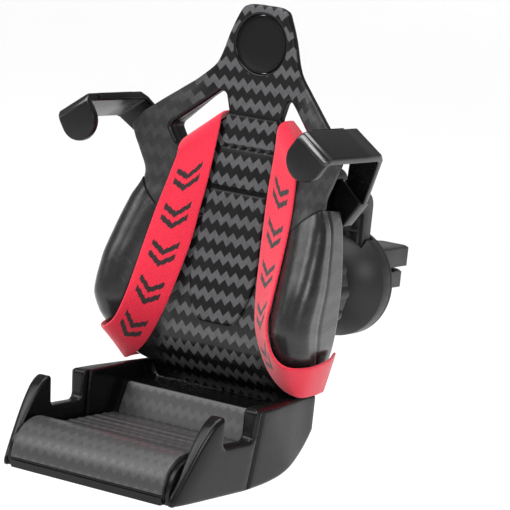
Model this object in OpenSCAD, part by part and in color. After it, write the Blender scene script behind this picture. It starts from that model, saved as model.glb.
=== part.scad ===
// Phone holder shaped like a small racing seat, carried on a ball joint by an air-vent clip.
// Lengths are millimetres, +Z is up and -Y is the side the phone faces.
// Shapes are drawn with the rear face of the housing at y = 0 and the flat of the tray at z = 0.
// The last lines move everything so that the middle of the clip's jaw gap is the origin.

/* [Seat] */
// top of the headrest
head_top_z = 137.5; // [134:0.5:140]
// wall of the backrest shell
shell_wall = 2.8; // [2.2:0.1:3.2]
// thickness of the shoulder and head plate
plate_wall = 2.8; // [2.2:0.1:3]
// radius of the round recess in the headrest
dish_r = 8.7; // [7:0.1:9]
// height of the recess centre
dish_z = 125.9; // [124:0.1:127]
// how far the cushions stand proud of the shell
cushion_h = 1.2; // [0.8:0.1:1.6]

/* [Straps] */
// webbing thickness
strap_t = 1.0; // [0.8:0.1:1.2]

/* [Tray] */
// inner face of the side walls
tray_inner_x = 28.6; // [28.4:0.1:29]
// top of the side walls at the rear
tray_wall_z = 25.2; // [24:0.1:25.4]
// lowest point of the notch that takes the phone
notch_z = 15.5; // [14.5:0.1:17]
// notch front and rear faces
notch_front_y = -66.9; // [-68:0.1:-66]
notch_rear_y = -51; // [-52:0.1:-50]
// seam between the front and rear tray mouldings
seam_y = -48.5; // [-49:0.1:-48]
// top of the tray floor skin
floor_z = 10; // [9:0.1:10.5]
// thickness of the tray skins
skin = 1.8; // [1.5:0.1:2]
// radius of the rolled front edge
roll_r = 10.9; // [10:0.1:11]

/* [Arms] */
// inner face of an arm when fully open
arm_open_x = 38.4; // [38.4:0.1:39]
// height of an arm's inner top edge
arm_top_z = 106.8; // [106.4:0.1:107.2]
// slope of the arm plate, down towards the outside
arm_slope = 34.6; // [32:0.2:36]
// width of the arm plate along the slope
arm_w = 12.2; // [11.5:0.1:13]
// thickness of the arm plate
arm_t = 2.6; // [2.4:0.1:2.8]
// rear end of the flat part of an arm
arm_rear_y = -21; // [-21.5:0.1:-20.5]
// front face of the hook tongue
hook_front_y = -51.5; // [-53:0.1:-50]

/* [Housing] */
// half width of the housing
housing_x = 24.3; // [24:0.1:24.5]
// depth of the housing
housing_y = 11.5; // [11.5:0.1:11.8]
// underside of the housing
housing_bottom_z = 29.5; // [29:0.1:30]
// top of the housing
housing_top_z = 92; // [92:0.1:93]
// bottom of the side notches that let the arms drop
side_notch_z = 63.2; // [62:0.1:63.4]
// how far the seat drops under a phone
drop = 8; // [7:0.1:8]
// how far each arm closes over that drop
close = 6; // [5:0.1:6]

/* [Ball joint] */
// ball radius, the usual 17 mm ball
ball_r = 8.5; // [8.4:0.05:8.5]
// height of the ball centre
ball_z = 50; // [49:0.1:51]
// distance of the ball centre behind the housing
ball_y = 17.8; // [17.5:0.1:18.2]
// radius of the neck that carries the ball
neck_r = 4.2; // [3.8:0.1:4.5]
// collar nut outer radius over its ribs
collar_r = 16; // [15.6:0.1:16.4]
// front and rear faces of the collar nut
collar_front_y = 8.5; // [8:0.1:9]
collar_rear_y = 23.5; // [23:0.1:23.8]

/* [Vent clip] */
// rear face of the clip's round plate
plate_y = 47; // [46.5:0.1:47.5]
// radius of the clip body
clip_r = 17.5; // [17:0.1:18]
// height of the jaw gap above the ball centre
gap_up = 3; // [2.5:0.1:3.5]
// jaw length behind the plate
jaw_len = 28; // [24:0.5:30]
// half width of the jaws
jaw_x = 7.2; // [6.5:0.1:7.4]
// gap between the closed jaws
jaw_gap = 1.4; // [1.2:0.1:1.8]

/* [Hidden] */
$fn = 64;

// moves the jaw gap's middle to the origin
origin_y = plate_y + jaw_len / 2;
origin_z = ball_z + gap_up;

black = [0.06, 0.06, 0.065];
carbon = [0.16, 0.16, 0.17];
red = [0.85, 0.07, 0.12];
steel = [0.6, 0.6, 0.62];
rubber_black = [0.03, 0.03, 0.03];

// rear plane of the backrest shell and of the cover that closes it
shell_rear_y = -12.5;
cover_front_y = -14.5;
cover_rear_y = -12.3;

// ---------------------------------------------------------------- helpers

// a drawing in X and Z, pushed from y0 to y1
module along_y(y0, y1) {
    translate([0, y1, 0]) rotate([90, 0, 0]) linear_extrude(y1 - y0) children();
}

// a drawing in Y and Z, pushed from x0 to x1
module along_x(x0, x1) {
    translate([x0, 0, 0]) rotate([90, 0, 90]) linear_extrude(x1 - x0) children();
}

module cylinder_y(r, y0, y1) {
    translate([0, y0, 0]) rotate([-90, 0, 0]) cylinder(h = y1 - y0, r = r);
}

module round_rect(x0, y0, x1, y1, r) {
    translate([x0 + r, y0]) square([x1 - x0 - 2 * r, y1 - y0]);
    translate([x0, y0 + r]) square([x1 - x0, y1 - y0 - 2 * r]);
    for (x = [x0 + r, x1 - r], y = [y0 + r, y1 - r]) translate([x, y]) circle(r);
}

// a bar with round ends from point a to point b
module slot_shape(a, b, r) {
    length = norm(b - a);
    translate(a) rotate(atan2(b[1] - a[1], b[0] - a[0])) {
        translate([0, -r]) square([length, 2 * r]);
        circle(r);
        translate([length, 0]) circle(r);
    }
}

module both_sides() {
    children();
    mirror([1, 0, 0]) children();
}

function flat(lists) = [for (l = lists) for (p = l) p];

// a curved wall given by rows of points on its two faces
module strip_loft(outer, inner) {
    n = len(outer);
    m = len(outer[0]);
    function o(i, j) = i * m + j;
    function q(i, j) = n * m + i * m + j;
    function quad(a, b, c, d) = [[a, b, c], [a, c, d]];
    last = m - 1;
    end = n - 1;
    sides = [for (i = [0:n - 2]) for (j = [0:m - 2]) each concat(
        quad(o(i, j), o(i + 1, j), o(i + 1, j + 1), o(i, j + 1)),
        quad(q(i, j), q(i, j + 1), q(i + 1, j + 1), q(i + 1, j)))];
    edges = [for (i = [0:n - 2]) each concat(
        quad(o(i + 1, 0), o(i, 0), q(i, 0), q(i + 1, 0)),
        quad(o(i, last), o(i + 1, last), q(i + 1, last), q(i, last)))];
    caps = [for (j = [0:m - 2]) each concat(
        quad(o(0, j), o(0, j + 1), q(0, j + 1), q(0, j)),
        quad(o(end, j + 1), o(end, j), q(end, j), q(end, j + 1)))];
    polyhedron(points = concat(flat(outer), flat(inner)), faces = concat(sides, edges, caps));
}

// ---------------------------------------------------------------- backrest surface

// one row per height: z, centre y, end of the flat centre x, bolster crest x and y,
// outer edge x and y, and the x where the side wall meets the rear plane
seat_rows = [
    [20.1, -15.6, 20.0, 23.5, -16.2, 26.8, -15.0, 26.8],
    [22.0, -16.8, 20.0, 23.5, -17.6, 27.0, -15.9, 27.0],
    [25.5, -21.5, 20.0, 23.5, -22.0, 27.2, -18.0, 27.2],
    [28.0, -24.0, 20.5, 26.7, -25.9, 31.0, -21.5, 29.6],
    [32.0, -26.6, 20.0, 29.3, -30.9, 34.2, -25.5, 31.4],
    [36.0, -27.6, 18.0, 30.5, -34.8, 35.8, -28.5, 32.4],
    [41.0, -27.3, 15.5, 31.7, -38.8, 37.3, -32.5, 33.4],
    [47.0, -26.5, 13.8, 32.2, -41.1, 38.1, -35.0, 34.0],
    [56.0, -25.0, 13.2, 32.1, -38.9, 38.2, -33.0, 34.1],
    [66.0, -23.6, 12.8, 31.2, -34.6, 37.0, -29.6, 33.4],
    [75.0, -22.2, 12.0, 29.8, -30.5, 35.1, -26.6, 32.2],
    [83.0, -20.6, 11.2, 28.0, -27.0, 32.0, -25.4, 30.2],
    [90.0, -19.2, 11.0, 30.8, -26.2, 34.6, -26.2, 31.0],
    [94.0, -18.4, 11.0, 32.8, -26.2, 36.4, -26.8, 31.0],
    [97.0, -18.0, 11.0, 33.6, -26.0, 37.2, -27.0, 31.0],
    [100.5, -17.6, 10.6, 31.6, -24.8, 35.2, -26.0, 31.0],
    [104.5, -17.4, 10.5, 27.6, -23.4, 30.6, -24.6, 30.0],
    [109.6, -17.5, 10.4, 21.8, -20.8, 24.4, -21.8, 24.0],
    [113.8, -17.7, 10.0, 17.4, -19.0, 19.4, -19.6, 19.0],
    [119.3, -17.9, 9.0, 12.9, -18.2, 14.4, -18.2, 14.0],
    [128.5, -18.2, 7.6, 10.1, -18.1, 11.3, -17.9, 11.0],
    [134.0, -18.0, 6.0, 8.0, -18.0, 9.0, -17.8, 8.8],
    [136.4, -17.8, 4.4, 6.6, -17.8, 7.6, -17.6, 7.4],
    [137.5, -17.7, 2.8, 4.6, -17.7, 5.6, -17.6, 5.4]];
seat_top = seat_rows[len(seat_rows) - 1][0];

function column(k) = [for (r = seat_rows) [r[0], r[k]]];
function centre_y(z) = lookup(z, column(1));

// the front of one level from the middle out to the edge
function half_front(z) = let (
        yc = centre_y(z), xi = lookup(z, column(2)), xc = lookup(z, column(3)),
        ycr = lookup(z, column(4)), w = lookup(z, column(5)), yw = lookup(z, column(6)))
    [[0, yc], [xi, yc], [(xi + xc) / 2, yc + 0.47 * (ycr - yc)], [xc, ycr],
     [xc + 0.7 * (w - xc), ycr + 0.3 * (yw - ycr)], [w, yw]];

// the inside of the hollow backrest at the same level
function half_inside(z) = let (
        yc = centre_y(z) + shell_wall, xi = lookup(z, column(2)) - 0.4, xc = lookup(z, column(3)) - 1,
        ycr = lookup(z, column(4)) + 1.5 * shell_wall, w = lookup(z, column(5)) - shell_wall,
        yw = min(lookup(z, column(6)) + 1, shell_rear_y - 0.6), xr = lookup(z, column(7)) - shell_wall)
    [[0, yc], [xi, yc], [(xi + xc) / 2, (yc + ycr) / 2], [xc, min(ycr, shell_rear_y - 0.8)],
     [(xc + w) / 2, (min(ycr, shell_rear_y - 0.8) + yw) / 2], [w, yw], [xr, shell_rear_y]];

function whole(half, z) = let (m = len(half) - 1)
    concat([for (k = [m:-1:1]) [-half[k][0], half[k][1], z]], [for (k = [0:m]) [half[k][0], half[k][1], z]]);

function levels(z0, z1) = concat([z0], [for (r = seat_rows) if (r[0] > z0 && r[0] < z1) r[0]], [z1]);

// the line where the shoulder plate laps onto the bolsters
joint_outer_z = 82;
joint_inner_z = 73;
joint_inner_x = 23;
module shoulder_area() {
    polygon([[-60, joint_outer_z + 2], [-32.5, joint_outer_z], [-joint_inner_x, joint_inner_z],
             [joint_inner_x, joint_inner_z], [32.5, joint_outer_z], [60, joint_outer_z + 2],
             [60, head_top_z + 1], [-60, head_top_z + 1]]);
}

// the slanting opening in the shoulder that the strap goes through
slot_corners = [[12.0, 109.4], [24.4, 98.2], [21.9, 94.2], [10.6, 104.4]];
slot_margin = 1.2;
slot_wall = 1.2;
slot_rear_y = -16;
module shoulder_slot(margin) {
    polygon(slot_corners);
    for (k = [0:3]) {
        slot_shape(slot_corners[k], slot_corners[(k + 1) % 4], margin);
    }
}

screw_places = [[-18, 36], [18, 36], [-18, 70], [18, 70]];

module seat_shell() {
    heights = levels(seat_rows[0][0], 85);
    color(black) difference() {
        union() {
            strip_loft(
                [for (z = heights) whole(concat(half_front(z), [[lookup(z, column(7)), shell_rear_y]]), z)],
                [for (z = heights) whole(half_inside(z), z)]);
            for (p = screw_places) translate([p[0], 0, p[1]]) cylinder_y(3, centre_y(p[1]) + 1.2, cover_front_y);
        }
        along_y(-60, 0) shoulder_area();
        for (p = screw_places) translate([p[0], 0, p[1]]) cylinder_y(1.05, -21, 0);
    }
}

module seat_head() {
    heights = levels(72, seat_top);
    outer = [for (z = heights) whole(half_front(z), z)];
    inner = [for (row = outer) [for (p = row) p + [0, plate_wall, 0]]];
    slot_end = [for (row = outer) [for (p = row) [p[0], slot_rear_y, p[2]]]];
    color(black) translate([0, 0, head_top_z - seat_top]) difference() {
        union() {
            intersection() {
                strip_loft(outer, inner);
                along_y(-60, 0) shoulder_area();
            }
            // walls that line the slots behind the plate
            intersection() {
                strip_loft(outer, slot_end);
                both_sides() along_y(-60, 0) shoulder_slot(slot_margin + slot_wall);
            }
        }
        both_sides() along_y(-60, 0) shoulder_slot(slot_margin);
        translate([0, 0, dish_z]) cylinder_y(dish_r, -30, 0);
    }
}

module headrest_dish() {
    front = centre_y(dish_z);
    rear = front + plate_wall;
    color(rubber_black) translate([0, 0, dish_z]) difference() {
        cylinder_y(dish_r, front + 0.3, rear + 0.6);
        cylinder_y(dish_r - 0.8, front, rear - 0.4);
    }
}

// a layer that follows the flat middle of the backrest
module front_layer(z0, z1, half) {
    heights = levels(z0, z1);
    function line(z, lift) = [for (x = [-half, 0, half]) [x, centre_y(z) - lift, z]];
    strip_loft([for (z = heights) line(z, cushion_h)], [for (z = heights) line(z, 0)]);
}

module cushion_upper() {
    color(carbon) front_layer(94.8, 104, 9.6);
}

module cushion_mid() {
    color(carbon) front_layer(82.3, 94, 10);
}

module lumbar_tongue() {
    outline = [[-10.2, 81.5], [-11, 66], [-11.8, 58], [-10.6, 51], [-8, 45], [-5.6, 42.2],
               [5.6, 42.2], [8, 45], [10.6, 51], [11.8, 58], [11, 66], [10.2, 81.5]];
    color(carbon) intersection() {
        front_layer(41, 82, 13);
        along_y(-60, 0) polygon(outline);
    }
}

// ---------------------------------------------------------------- straps

// inner and outer edge of the webbing's underside, from the rear of the bolster up and through the slot
strap_inner_edge = [[31.0, -13.4, 25.9], [31.9, -19.5, 25.9], [31.1, -26.0, 26.0], [27.0, -28.4, 28.2],
                    [22.0, -29.4, 33.6], [17.3, -29.6, 43.0], [14.8, -27.9, 52.5], [12.9, -25.1, 64.0],
                    [11.8, -23.2, 75.0], [11.1, -21.5, 84.5], [11.0, -19.5, 97.0], [11.1, -18.5, 103.4],
                    [11.6, -16.6, 105.0], [12.2, -14.8, 105.9], [12.6, -13.4, 106.3]];
strap_outer_edge = [[34.0, -13.4, 38.6], [37.4, -22.0, 38.0], [37.0, -31.6, 36.6], [32.8, -37.4, 36.6],
                    [28.6, -38.6, 40.2], [25.9, -38.0, 47.5], [25.2, -35.2, 55.5], [24.7, -32.2, 64.0],
                    [24.0, -29.0, 73.0], [23.0, -26.3, 82.0], [21.9, -24.2, 89.6], [21.3, -23.4, 93.2],
                    [21.2, -20.6, 95.6], [21.5, -16.8, 97.0], [21.8, -13.4, 97.8]];

function unit(v) = v / norm(v);

module strap() {
    last = len(strap_inner_edge) - 1;
    middle = (strap_inner_edge + strap_outer_edge) / 2;
    normals = [for (i = [0:last]) unit(cross(
        strap_outer_edge[i] - strap_inner_edge[i], middle[min(i + 1, last)] - middle[max(i - 1, 0)]))];
    strip_loft(
        [for (i = [0:last]) [strap_inner_edge[i] + strap_t * normals[i], strap_outer_edge[i] + strap_t * normals[i]]],
        [for (i = [0:last]) [strap_inner_edge[i], strap_outer_edge[i]]]);
}

module strap_right() {
    color(red) strap();
}

module strap_left() {
    color(red) mirror([1, 0, 0]) strap();
}

// ---------------------------------------------------------------- seat rear

module seat_back_cover() {
    color(black) difference() {
        along_y(cover_front_y, cover_rear_y) round_rect(-26.4, 31.5, 26.4, 76, 4);
        for (p = screw_places) translate([p[0], 0, p[1]]) {
            cylinder_y(1.3, -20, 0);
            cylinder_y(2.4, cover_rear_y - 1.1, 0);
        }
    }
}

// rails that carry the arm bars, and the stem that reaches them through the housing cover
bar_bottom_z = 75;
bar_top_z = 86;
bar_front_y = -7.2;
bar_rear_y = -2.9;
stem_bottom_z = 62;
carriage_x = 16;
module seat_carriage() {
    color(black) {
        along_y(cover_rear_y, -7.5) round_rect(-8.4, stem_bottom_z, 8.4, 78, 1.5);
        along_y(-9.4, -7.5) square_between(-carriage_x, 71, carriage_x, 88.4);
        along_y(-7.5, -2.6) {
            square_between(-carriage_x, 71, carriage_x, bar_bottom_z - 0.3);
            square_between(-carriage_x, bar_top_z + 0.3, carriage_x, 88.4);
        }
    }
}

module square_between(x0, y0, x1, y1) {
    translate([x0, y0]) square([x1 - x0, y1 - y0]);
}

module small_screw(place, head_y, tip_y) {
    color(steel) translate([place[0], 0, place[1]]) difference() {
        union() {
            cylinder_y(2.2, head_y - 1, head_y);
            cylinder_y(1, tip_y, head_y - 0.5);
        }
        for (turn = [0, 90]) rotate([0, turn, 0]) translate([-1.2, head_y - 0.5, -0.2]) cube([2.4, 1, 0.4]);
    }
}

module seat_screw(k) {
    small_screw(screw_places[k], cover_rear_y - 0.1, -20);
}

// ---------------------------------------------------------------- tray

// outline of a side wall without its notch: y and z
wall_profile = [[-84.7, 0], [-79.9, 10.8], [-76.3, 16.8], [-72.5, 21.6], [-70.2, 23.7], [-67.9, 24.5],
                [-60, 24.6], [-47.3, 24.6], [-19.4, tray_wall_z], [-13.2, tray_wall_z], [-13.2, 14],
                [-15.2, 11.5], [-19, 8], [-24.5, 4.6], [-31, 2.2], [-38, 0.9], [-46, 0.2], [-50, 0]];

module tray_blank() {
    plan = [[30.2, -86], [32.4, -77], [33.9, -67], [34.3, -56], [34.1, -47], [32.4, -32],
            [30.6, -19], [30.0, -12]];
    intersection() {
        along_x(-40, 40) polygon(wall_profile);
        translate([0, 0, -1]) linear_extrude(30)
            polygon(concat(plan, [for (k = [len(plan) - 1:-1:0]) [-plan[k][0], plan[k][1]]]));
        along_y(-90, 0) polygon([[-31.2, -1], [31.2, -1], [34.6, 26], [-34.6, 26]]);
    }
}

// the notch with its small inner radii
module notch() {
    r = 2;
    along_x(-40, 40) {
        round_rect(notch_front_y, notch_z, notch_rear_y, 40, r);
    }
}

module tray_front() {
    color(black) intersection() {
        difference() {
            tray_blank();
            notch();
            along_x(-tray_inner_x, tray_inner_x) {
                polygon([[-90, -1], [-90, 40], [seam_y + 1, 40], [seam_y + 1, floor_z], [-69.6, floor_z],
                         [-69.6, floor_z - skin], [seam_y + 1, floor_z - skin], [seam_y + 1, -1]]);
            }
        }
        along_x(-50, 50) square_between(-95, -5, seam_y, 40);
    }
}

module tray_rear() {
    rear_inner_x = 27.8;
    color(black) intersection() {
        difference() {
            tray_blank();
            notch();
            along_x(-rear_inner_x, rear_inner_x) {
                polygon([[seam_y - 1, floor_z], [-35.4, floor_z], [-31, 20], [-10, 20], [-10, 40],
                         [seam_y - 1, 40]]);
                polygon([[seam_y - 1, -1], [-42, -1], [-42, 2.4], [-38, 2.8], [-31, 4.2], [-24, 6.8], [-18, 11.4],
                         [-15.2, 15], [-15.2, 20 - skin], [-29.8, 20 - skin], [-34.2, floor_z - skin],
                         [seam_y - 1, floor_z - skin]]);
            }
            translate([0, 0, floor_z]) linear_extrude(40)
                polygon([[-tray_inner_x, -49], [tray_inner_x, -49], [rear_inner_x, -36], [-rear_inner_x, -36]]);
        }
        along_x(-50, 50) square_between(seam_y, -5, 0, 40);
    }
}

module front_roll() {
    roll_y = -75.2;
    roll_z = 3.2;
    color(carbon) along_x(-26.9, 26.9) difference() {
        translate([roll_y, roll_z]) circle(roll_r);
        translate([roll_y, roll_z]) circle(roll_r - 2.2);
        square_between(-100, -20, 0, 0);
        square_between(-69.8, -20, 0, 30);
    }
    color(black) both_sides() along_x(26.9, tray_inner_x) difference() {
        translate([roll_y, roll_z]) circle(roll_r - 1.4);
        square_between(-100, -20, 0, 0);
        square_between(-69.8, -20, 0, 30);
    }
}

module tray_floor_pad() {
    rib_pitch = 4.2;
    rib_count = 7;
    color(carbon) {
        translate([-26.6, -68.6, floor_z]) cube([53.2, 31.8, 1]);
        for (k = [0:rib_count - 1]) translate([-26.6, -67.4 + k * rib_pitch, floor_z + 1]) cube([53.2, 1.6, 0.6]);
    }
}

module rear_floor_panel() {
    color(carbon) along_x(-25.6, 25.6)
        polygon([[-35.45, floor_z + 0.05], [-31.12, 19.9], [-31.95, 20.3], [-36.25, floor_z + 0.8], [-36.1, floor_z + 0.05]]);
}

module tray_bottom_cover() {
    color(black) difference() {
        translate([-27.6, -69.6, 0.2]) cube([55.2, 27.2, 1.6]);
        for (x = [-18, 18], y = [-64, -50]) translate([x, y, -1]) cylinder(h = 5, r = 1.4);
    }
}

// ---------------------------------------------------------------- arms

arm_half_w = arm_w / 2;
arm_middle_x = arm_open_x + arm_half_w * cos(arm_slope);
arm_middle_z = arm_top_z - arm_half_w * sin(arm_slope);
tongue_len = 12.2;
bend_r = 2.6;
block_front_y = -8.2;

// the arm's own sloping frame: x across the plate, z square to it with the top face at 0
module on_arm() {
    translate([arm_middle_x, 0, arm_middle_z]) rotate([0, arm_slope, 0]) children();
}

// side view of plate, rounded bend and the hook tongue that hangs square to the plate
module arm_side_view() {
    tongue_t = 2.8;
    inner_y = hook_front_y + tongue_t;
    polygon(concat(
        [for (a = [180:-10:90]) [hook_front_y + bend_r * (1 + cos(a)), bend_r * (sin(a) - 1)]],
        [[arm_rear_y, 0], [arm_rear_y, -arm_t], [inner_y, -arm_t], [inner_y, -tongue_len], [hook_front_y, -tongue_len]]));
}

// a point on the rear end of the plate, u across it and w square to it
function plate_end(u, w, y) = [arm_middle_x + u * cos(arm_slope) + w * sin(arm_slope), y,
                               arm_middle_z - u * sin(arm_slope) + w * cos(arm_slope)];

// the sloping plate from the rear of the arm down to the block beside the housing, its ends buried in both
module arm_gusset() {
    bury = 0.4;
    y0 = arm_rear_y - 0.6;
    y1 = -4.7;
    u = arm_half_w - bury;
    w = arm_t - bury;
    strip_loft([[plate_end(-u, -bury, y0), plate_end(u, -bury, y0)], [[27.3, y1, 89.2], [34.3, y1, 82.9]]],
               [[plate_end(-u, -w, y0), plate_end(u, -w, y0)], [[27.3, y1, 87.2], [34.3, y1, 80.9]]]);
}

module arm() {
    difference() {
        union() {
            on_arm() intersection() {
                along_x(-arm_half_w, arm_half_w) arm_side_view();
                along_y(-60, 0) {
                    square_between(-arm_half_w, arm_half_w - tongue_len, arm_half_w, 1);
                    translate([0, arm_half_w - tongue_len]) circle(arm_half_w);
                }
            }
            arm_gusset();
            along_y(block_front_y, bar_rear_y)
                polygon([[24.8, bar_bottom_z], [29.2, bar_bottom_z], [34.7, 82.9], [27.5, 89.6], [24.8, 85.6]]);
            along_y(bar_front_y, bar_rear_y) square_between(9.5, bar_bottom_z, 26, bar_top_z);
        }
        translate([cam_x, 0, cam_z]) cylinder_y(1.3, -6, 0);
    }
}

module arm_right() {
    color(black) arm();
}

module arm_left() {
    color(black) mirror([1, 0, 0]) arm();
}

// a thin rubber strip on the inner edge that meets the phone
module arm_pad() {
    pad_t = 0.5;
    margin = 0.4;
    on_arm() translate([-arm_half_w - pad_t, -45, margin - arm_t]) cube([pad_t, 17, arm_t - 2 * margin]);
}

module arm_pad_right() {
    color(rubber_black) arm_pad();
}

module arm_pad_left() {
    color(rubber_black) mirror([1, 0, 0]) arm_pad();
}

// pin on the arm bar that runs in the housing's sloping groove
cam_x = 14;
cam_z = 80.5;
module cam_pin() {
    translate([cam_x, 0, cam_z]) cylinder_y(1.3, -6, -1);
}

module cam_pin_right() {
    color(steel) cam_pin();
}

module cam_pin_left() {
    color(steel) mirror([1, 0, 0]) cam_pin();
}

// ---------------------------------------------------------------- housing

housing_screw_places = [[-18.6, 35.4], [18.6, 35.4], [-18.6, 58], [18.6, 58]];
collet_r = 13;
socket_r = 11.2;
collet_end_y = 20.4;

// round socket and finger shapes, drawn as radius and distance behind the housing
module around_ball_axis() {
    translate([0, 0, ball_z]) rotate([-90, 0, 0]) rotate_extrude() children();
}

module half_disc(r) {
    intersection() {
        translate([0, ball_y]) circle(r);
        square_between(0, 0, 30, 60);
    }
}

module housing_box() {
    wall = 2.4;
    rear_wall = 2.2;
    difference() {
        intersection() {
            along_y(-housing_y, 0) round_rect(-housing_x, housing_bottom_z, housing_x, housing_top_z, 4);
            along_x(-40, 40) round_rect(-housing_y - 8, housing_bottom_z, 0, housing_top_z, 3);
        }
        along_y(-housing_y - 1, -rear_wall)
            round_rect(-housing_x + wall, housing_bottom_z + wall, housing_x - wall, housing_top_z - wall, 2);
        // notches in the side walls for the arms
        for (x = [-housing_x - 1, housing_x - wall - 1])
            translate([x, -housing_y - 1, side_notch_z]) cube([wall + 2, housing_y - 1.5, 88.6 - side_notch_z]);
    }
}

module rear_housing() {
    color(black) difference() {
        union() {
            housing_box();
            for (p = housing_screw_places) translate([p[0], 0, p[1]]) cylinder_y(2.4, -9.6, -1);
            translate([0, 0, ball_z]) cylinder_y(collet_r, -1, collet_end_y);
        }
        // sloping grooves that steer the arms
        both_sides() along_y(-3, -0.8) slot_shape([cam_x, cam_z], [cam_x - close, cam_z - drop], 1.6);
        for (p = housing_screw_places) translate([p[0], 0, p[1]]) {
            cylinder_y(1.05, -10, 1);
            cylinder_y(2.4, -1.1, 1);
        }
        // ball socket with its split fingers
        around_ball_axis() half_disc(socket_r);
        for (turn = [0, 90]) translate([0, 0, ball_z]) rotate([0, turn, 0])
            translate([-0.7, 9, -20]) cube([1.4, 20, 40]);
        // round windows in the side fingers, level with the ball centre
        translate([-20, ball_y, ball_z]) rotate([0, 90, 0]) cylinder(h = 40, r = 1.6);
    }
}

module housing_cover() {
    color(black) difference() {
        along_y(-housing_y, -9.8) round_rect(-21.6, 32.2, 21.6, 89.2, 2);
        along_y(-20, 0) round_rect(-8.9, stem_bottom_z - drop - 0.6, 8.9, 78.6, 1.5);
        for (p = housing_screw_places) translate([p[0], 0, p[1]]) cylinder_y(1.05, -10.9, 0);
    }
}

module return_spring(x) {
    bottom = housing_bottom_z + 2.4;
    color(steel) translate([x, -4.95, bottom]) difference() {
        cylinder(h = 71 - bottom, r = 2.1);
        translate([0, 0, -1]) cylinder(h = 50, r = 1.5);
    }
}

module housing_screw(k) {
    small_screw(housing_screw_places[k], -0.1, -10.6);
}

// ---------------------------------------------------------------- ball joint

module collar_nut() {
    ribs = 12;
    color(black) translate([0, 0, ball_z]) difference() {
        union() {
            cylinder_y(collar_r - 1.2, collar_front_y, collar_rear_y);
            for (k = [0:ribs - 1]) rotate([0, k * 360 / ribs, 0])
                translate([0, 0, collar_r - 2.2]) cylinder_y(2.2, collar_front_y + 0.8, collar_rear_y - 0.8);
        }
        cylinder_y(collet_r + 0.3, collar_front_y - 1, collet_end_y + 0.3);
        rotate([-90, 0, 0]) rotate_extrude() half_disc(socket_r + 0.1);
        cylinder_y(9.8, collet_end_y, collar_rear_y + 1);
    }
}

// a ring cut from a hollow ball around the ball centre
module ball_ring(inner_r, outer_r, front, rear) {
    around_ball_axis() intersection() {
        difference() {
            half_disc(outer_r);
            half_disc(inner_r);
        }
        square_between(0, ball_y + front, 30, ball_y + rear);
    }
}

module outer_liner() {
    color(rubber_black) ball_ring(ball_r + 1.6, socket_r - 0.3, -7, 4);
}

module inner_liner() {
    color(rubber_black) ball_ring(ball_r + 0.3, ball_r + 1.3, -5.5, 3.6);
}

dome_apex_y = plate_y - 16.8;
module ball_stem() {
    color(black) difference() {
        union() {
            translate([0, ball_y, ball_z]) sphere(ball_r);
            translate([0, 0, ball_z]) cylinder_y(neck_r, ball_y, dome_apex_y + 2);
        }
        translate([0, ball_y, ball_z + 2.4]) cylinder(h = 10, r = 3.6);
    }
}

// ---------------------------------------------------------------- vent clip

face_t = 2.2;
lever_x = 9.2;
lever_front_y = plate_y - 9;
lever_rear_y = plate_y - 4;
lower_jaw_t = 5.3;
upper_jaw_t = 6.3;
gap_z = ball_z + gap_up;
upper_jaw_z = gap_z + jaw_gap / 2;
lower_jaw_z = gap_z - jaw_gap / 2;
spring_drop = 12.4;

module clip_body() {
    dome_r = 20;
    straight = 4.3;
    color(black) difference() {
        translate([0, 0, ball_z]) union() {
            cylinder_y(clip_r, plate_y - face_t - straight, plate_y - face_t);
            intersection() {
                translate([0, dome_apex_y + dome_r, 0]) sphere(dome_r);
                cylinder_y(clip_r, dome_apex_y - 1, plate_y - face_t);
            }
        }
        // room for the sliding jaw and lever, open at the top
        translate([-8.3, lever_front_y - 0.4, ball_z - spring_drop]) cube([16.6, 12, spring_drop]);
        translate([-lever_x - 0.5, lever_front_y - 0.4, ball_z - 5.5]) cube([2 * lever_x + 1, 12, 40]);
        // hole that the ball's neck is pressed into
        translate([0, 0, ball_z]) cylinder_y(neck_r, dome_apex_y - 1, dome_apex_y + 2);
    }
}

module face_plate() {
    window_x = 8;
    color(black) translate([0, 0, ball_z]) difference() {
        union() {
            cylinder_y(clip_r, plate_y - face_t, plate_y - 0.7);
            cylinder_y(clip_r - 0.9, plate_y - 0.7, plate_y);
        }
        along_y(plate_y - 5, plate_y + 5) round_rect(-window_x, -12, window_x, 10.2, 1.6);
    }
}

module jaw_outline(length, tip) {
    polygon([[-jaw_x, 0], [jaw_x, 0], [jaw_x, length - tip], [jaw_x - tip, length],
             [-jaw_x + tip, length], [-jaw_x, length - tip]]);
}

pad_hole_x = 5.2;
module upper_jaw() {
    color(black) difference() {
        union() {
            translate([0, plate_y - face_t, upper_jaw_z]) linear_extrude(upper_jaw_t) jaw_outline(jaw_len + face_t, 3);
            along_y(plate_y - face_t - 1.3, plate_y - face_t) square_between(-9.5, upper_jaw_z, 9.5, ball_z + 12.6);
        }
        translate([-pad_hole_x, plate_y + 4, upper_jaw_z - 1]) cube([2 * pad_hole_x, 20, 1.9]);
    }
}

module lower_jaw() {
    shorter = 1.6;
    length = jaw_len - shorter;
    color(black) difference() {
        union() {
            translate([0, 0, lower_jaw_z - lower_jaw_t]) linear_extrude(lower_jaw_t) {
                translate([-jaw_x, lever_front_y]) square([2 * jaw_x, plate_y - lever_front_y + length - jaw_x + 3]);
                intersection() {
                    translate([0, plate_y + length - jaw_x]) circle(jaw_x);
                    translate([-jaw_x, plate_y]) square([2 * jaw_x, length]);
                }
            }
            translate([-8, lever_front_y, ball_z - 4.2]) cube([16, lever_rear_y - lever_front_y, 3]);
        }
        translate([-pad_hole_x, plate_y + 4, lower_jaw_z - 0.9]) cube([2 * pad_hole_x, 18, 2]);
        translate([0, lever_front_y + 2.6, ball_z - 5]) cylinder(h = 3.4, r = 2.2);
    }
}

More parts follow.
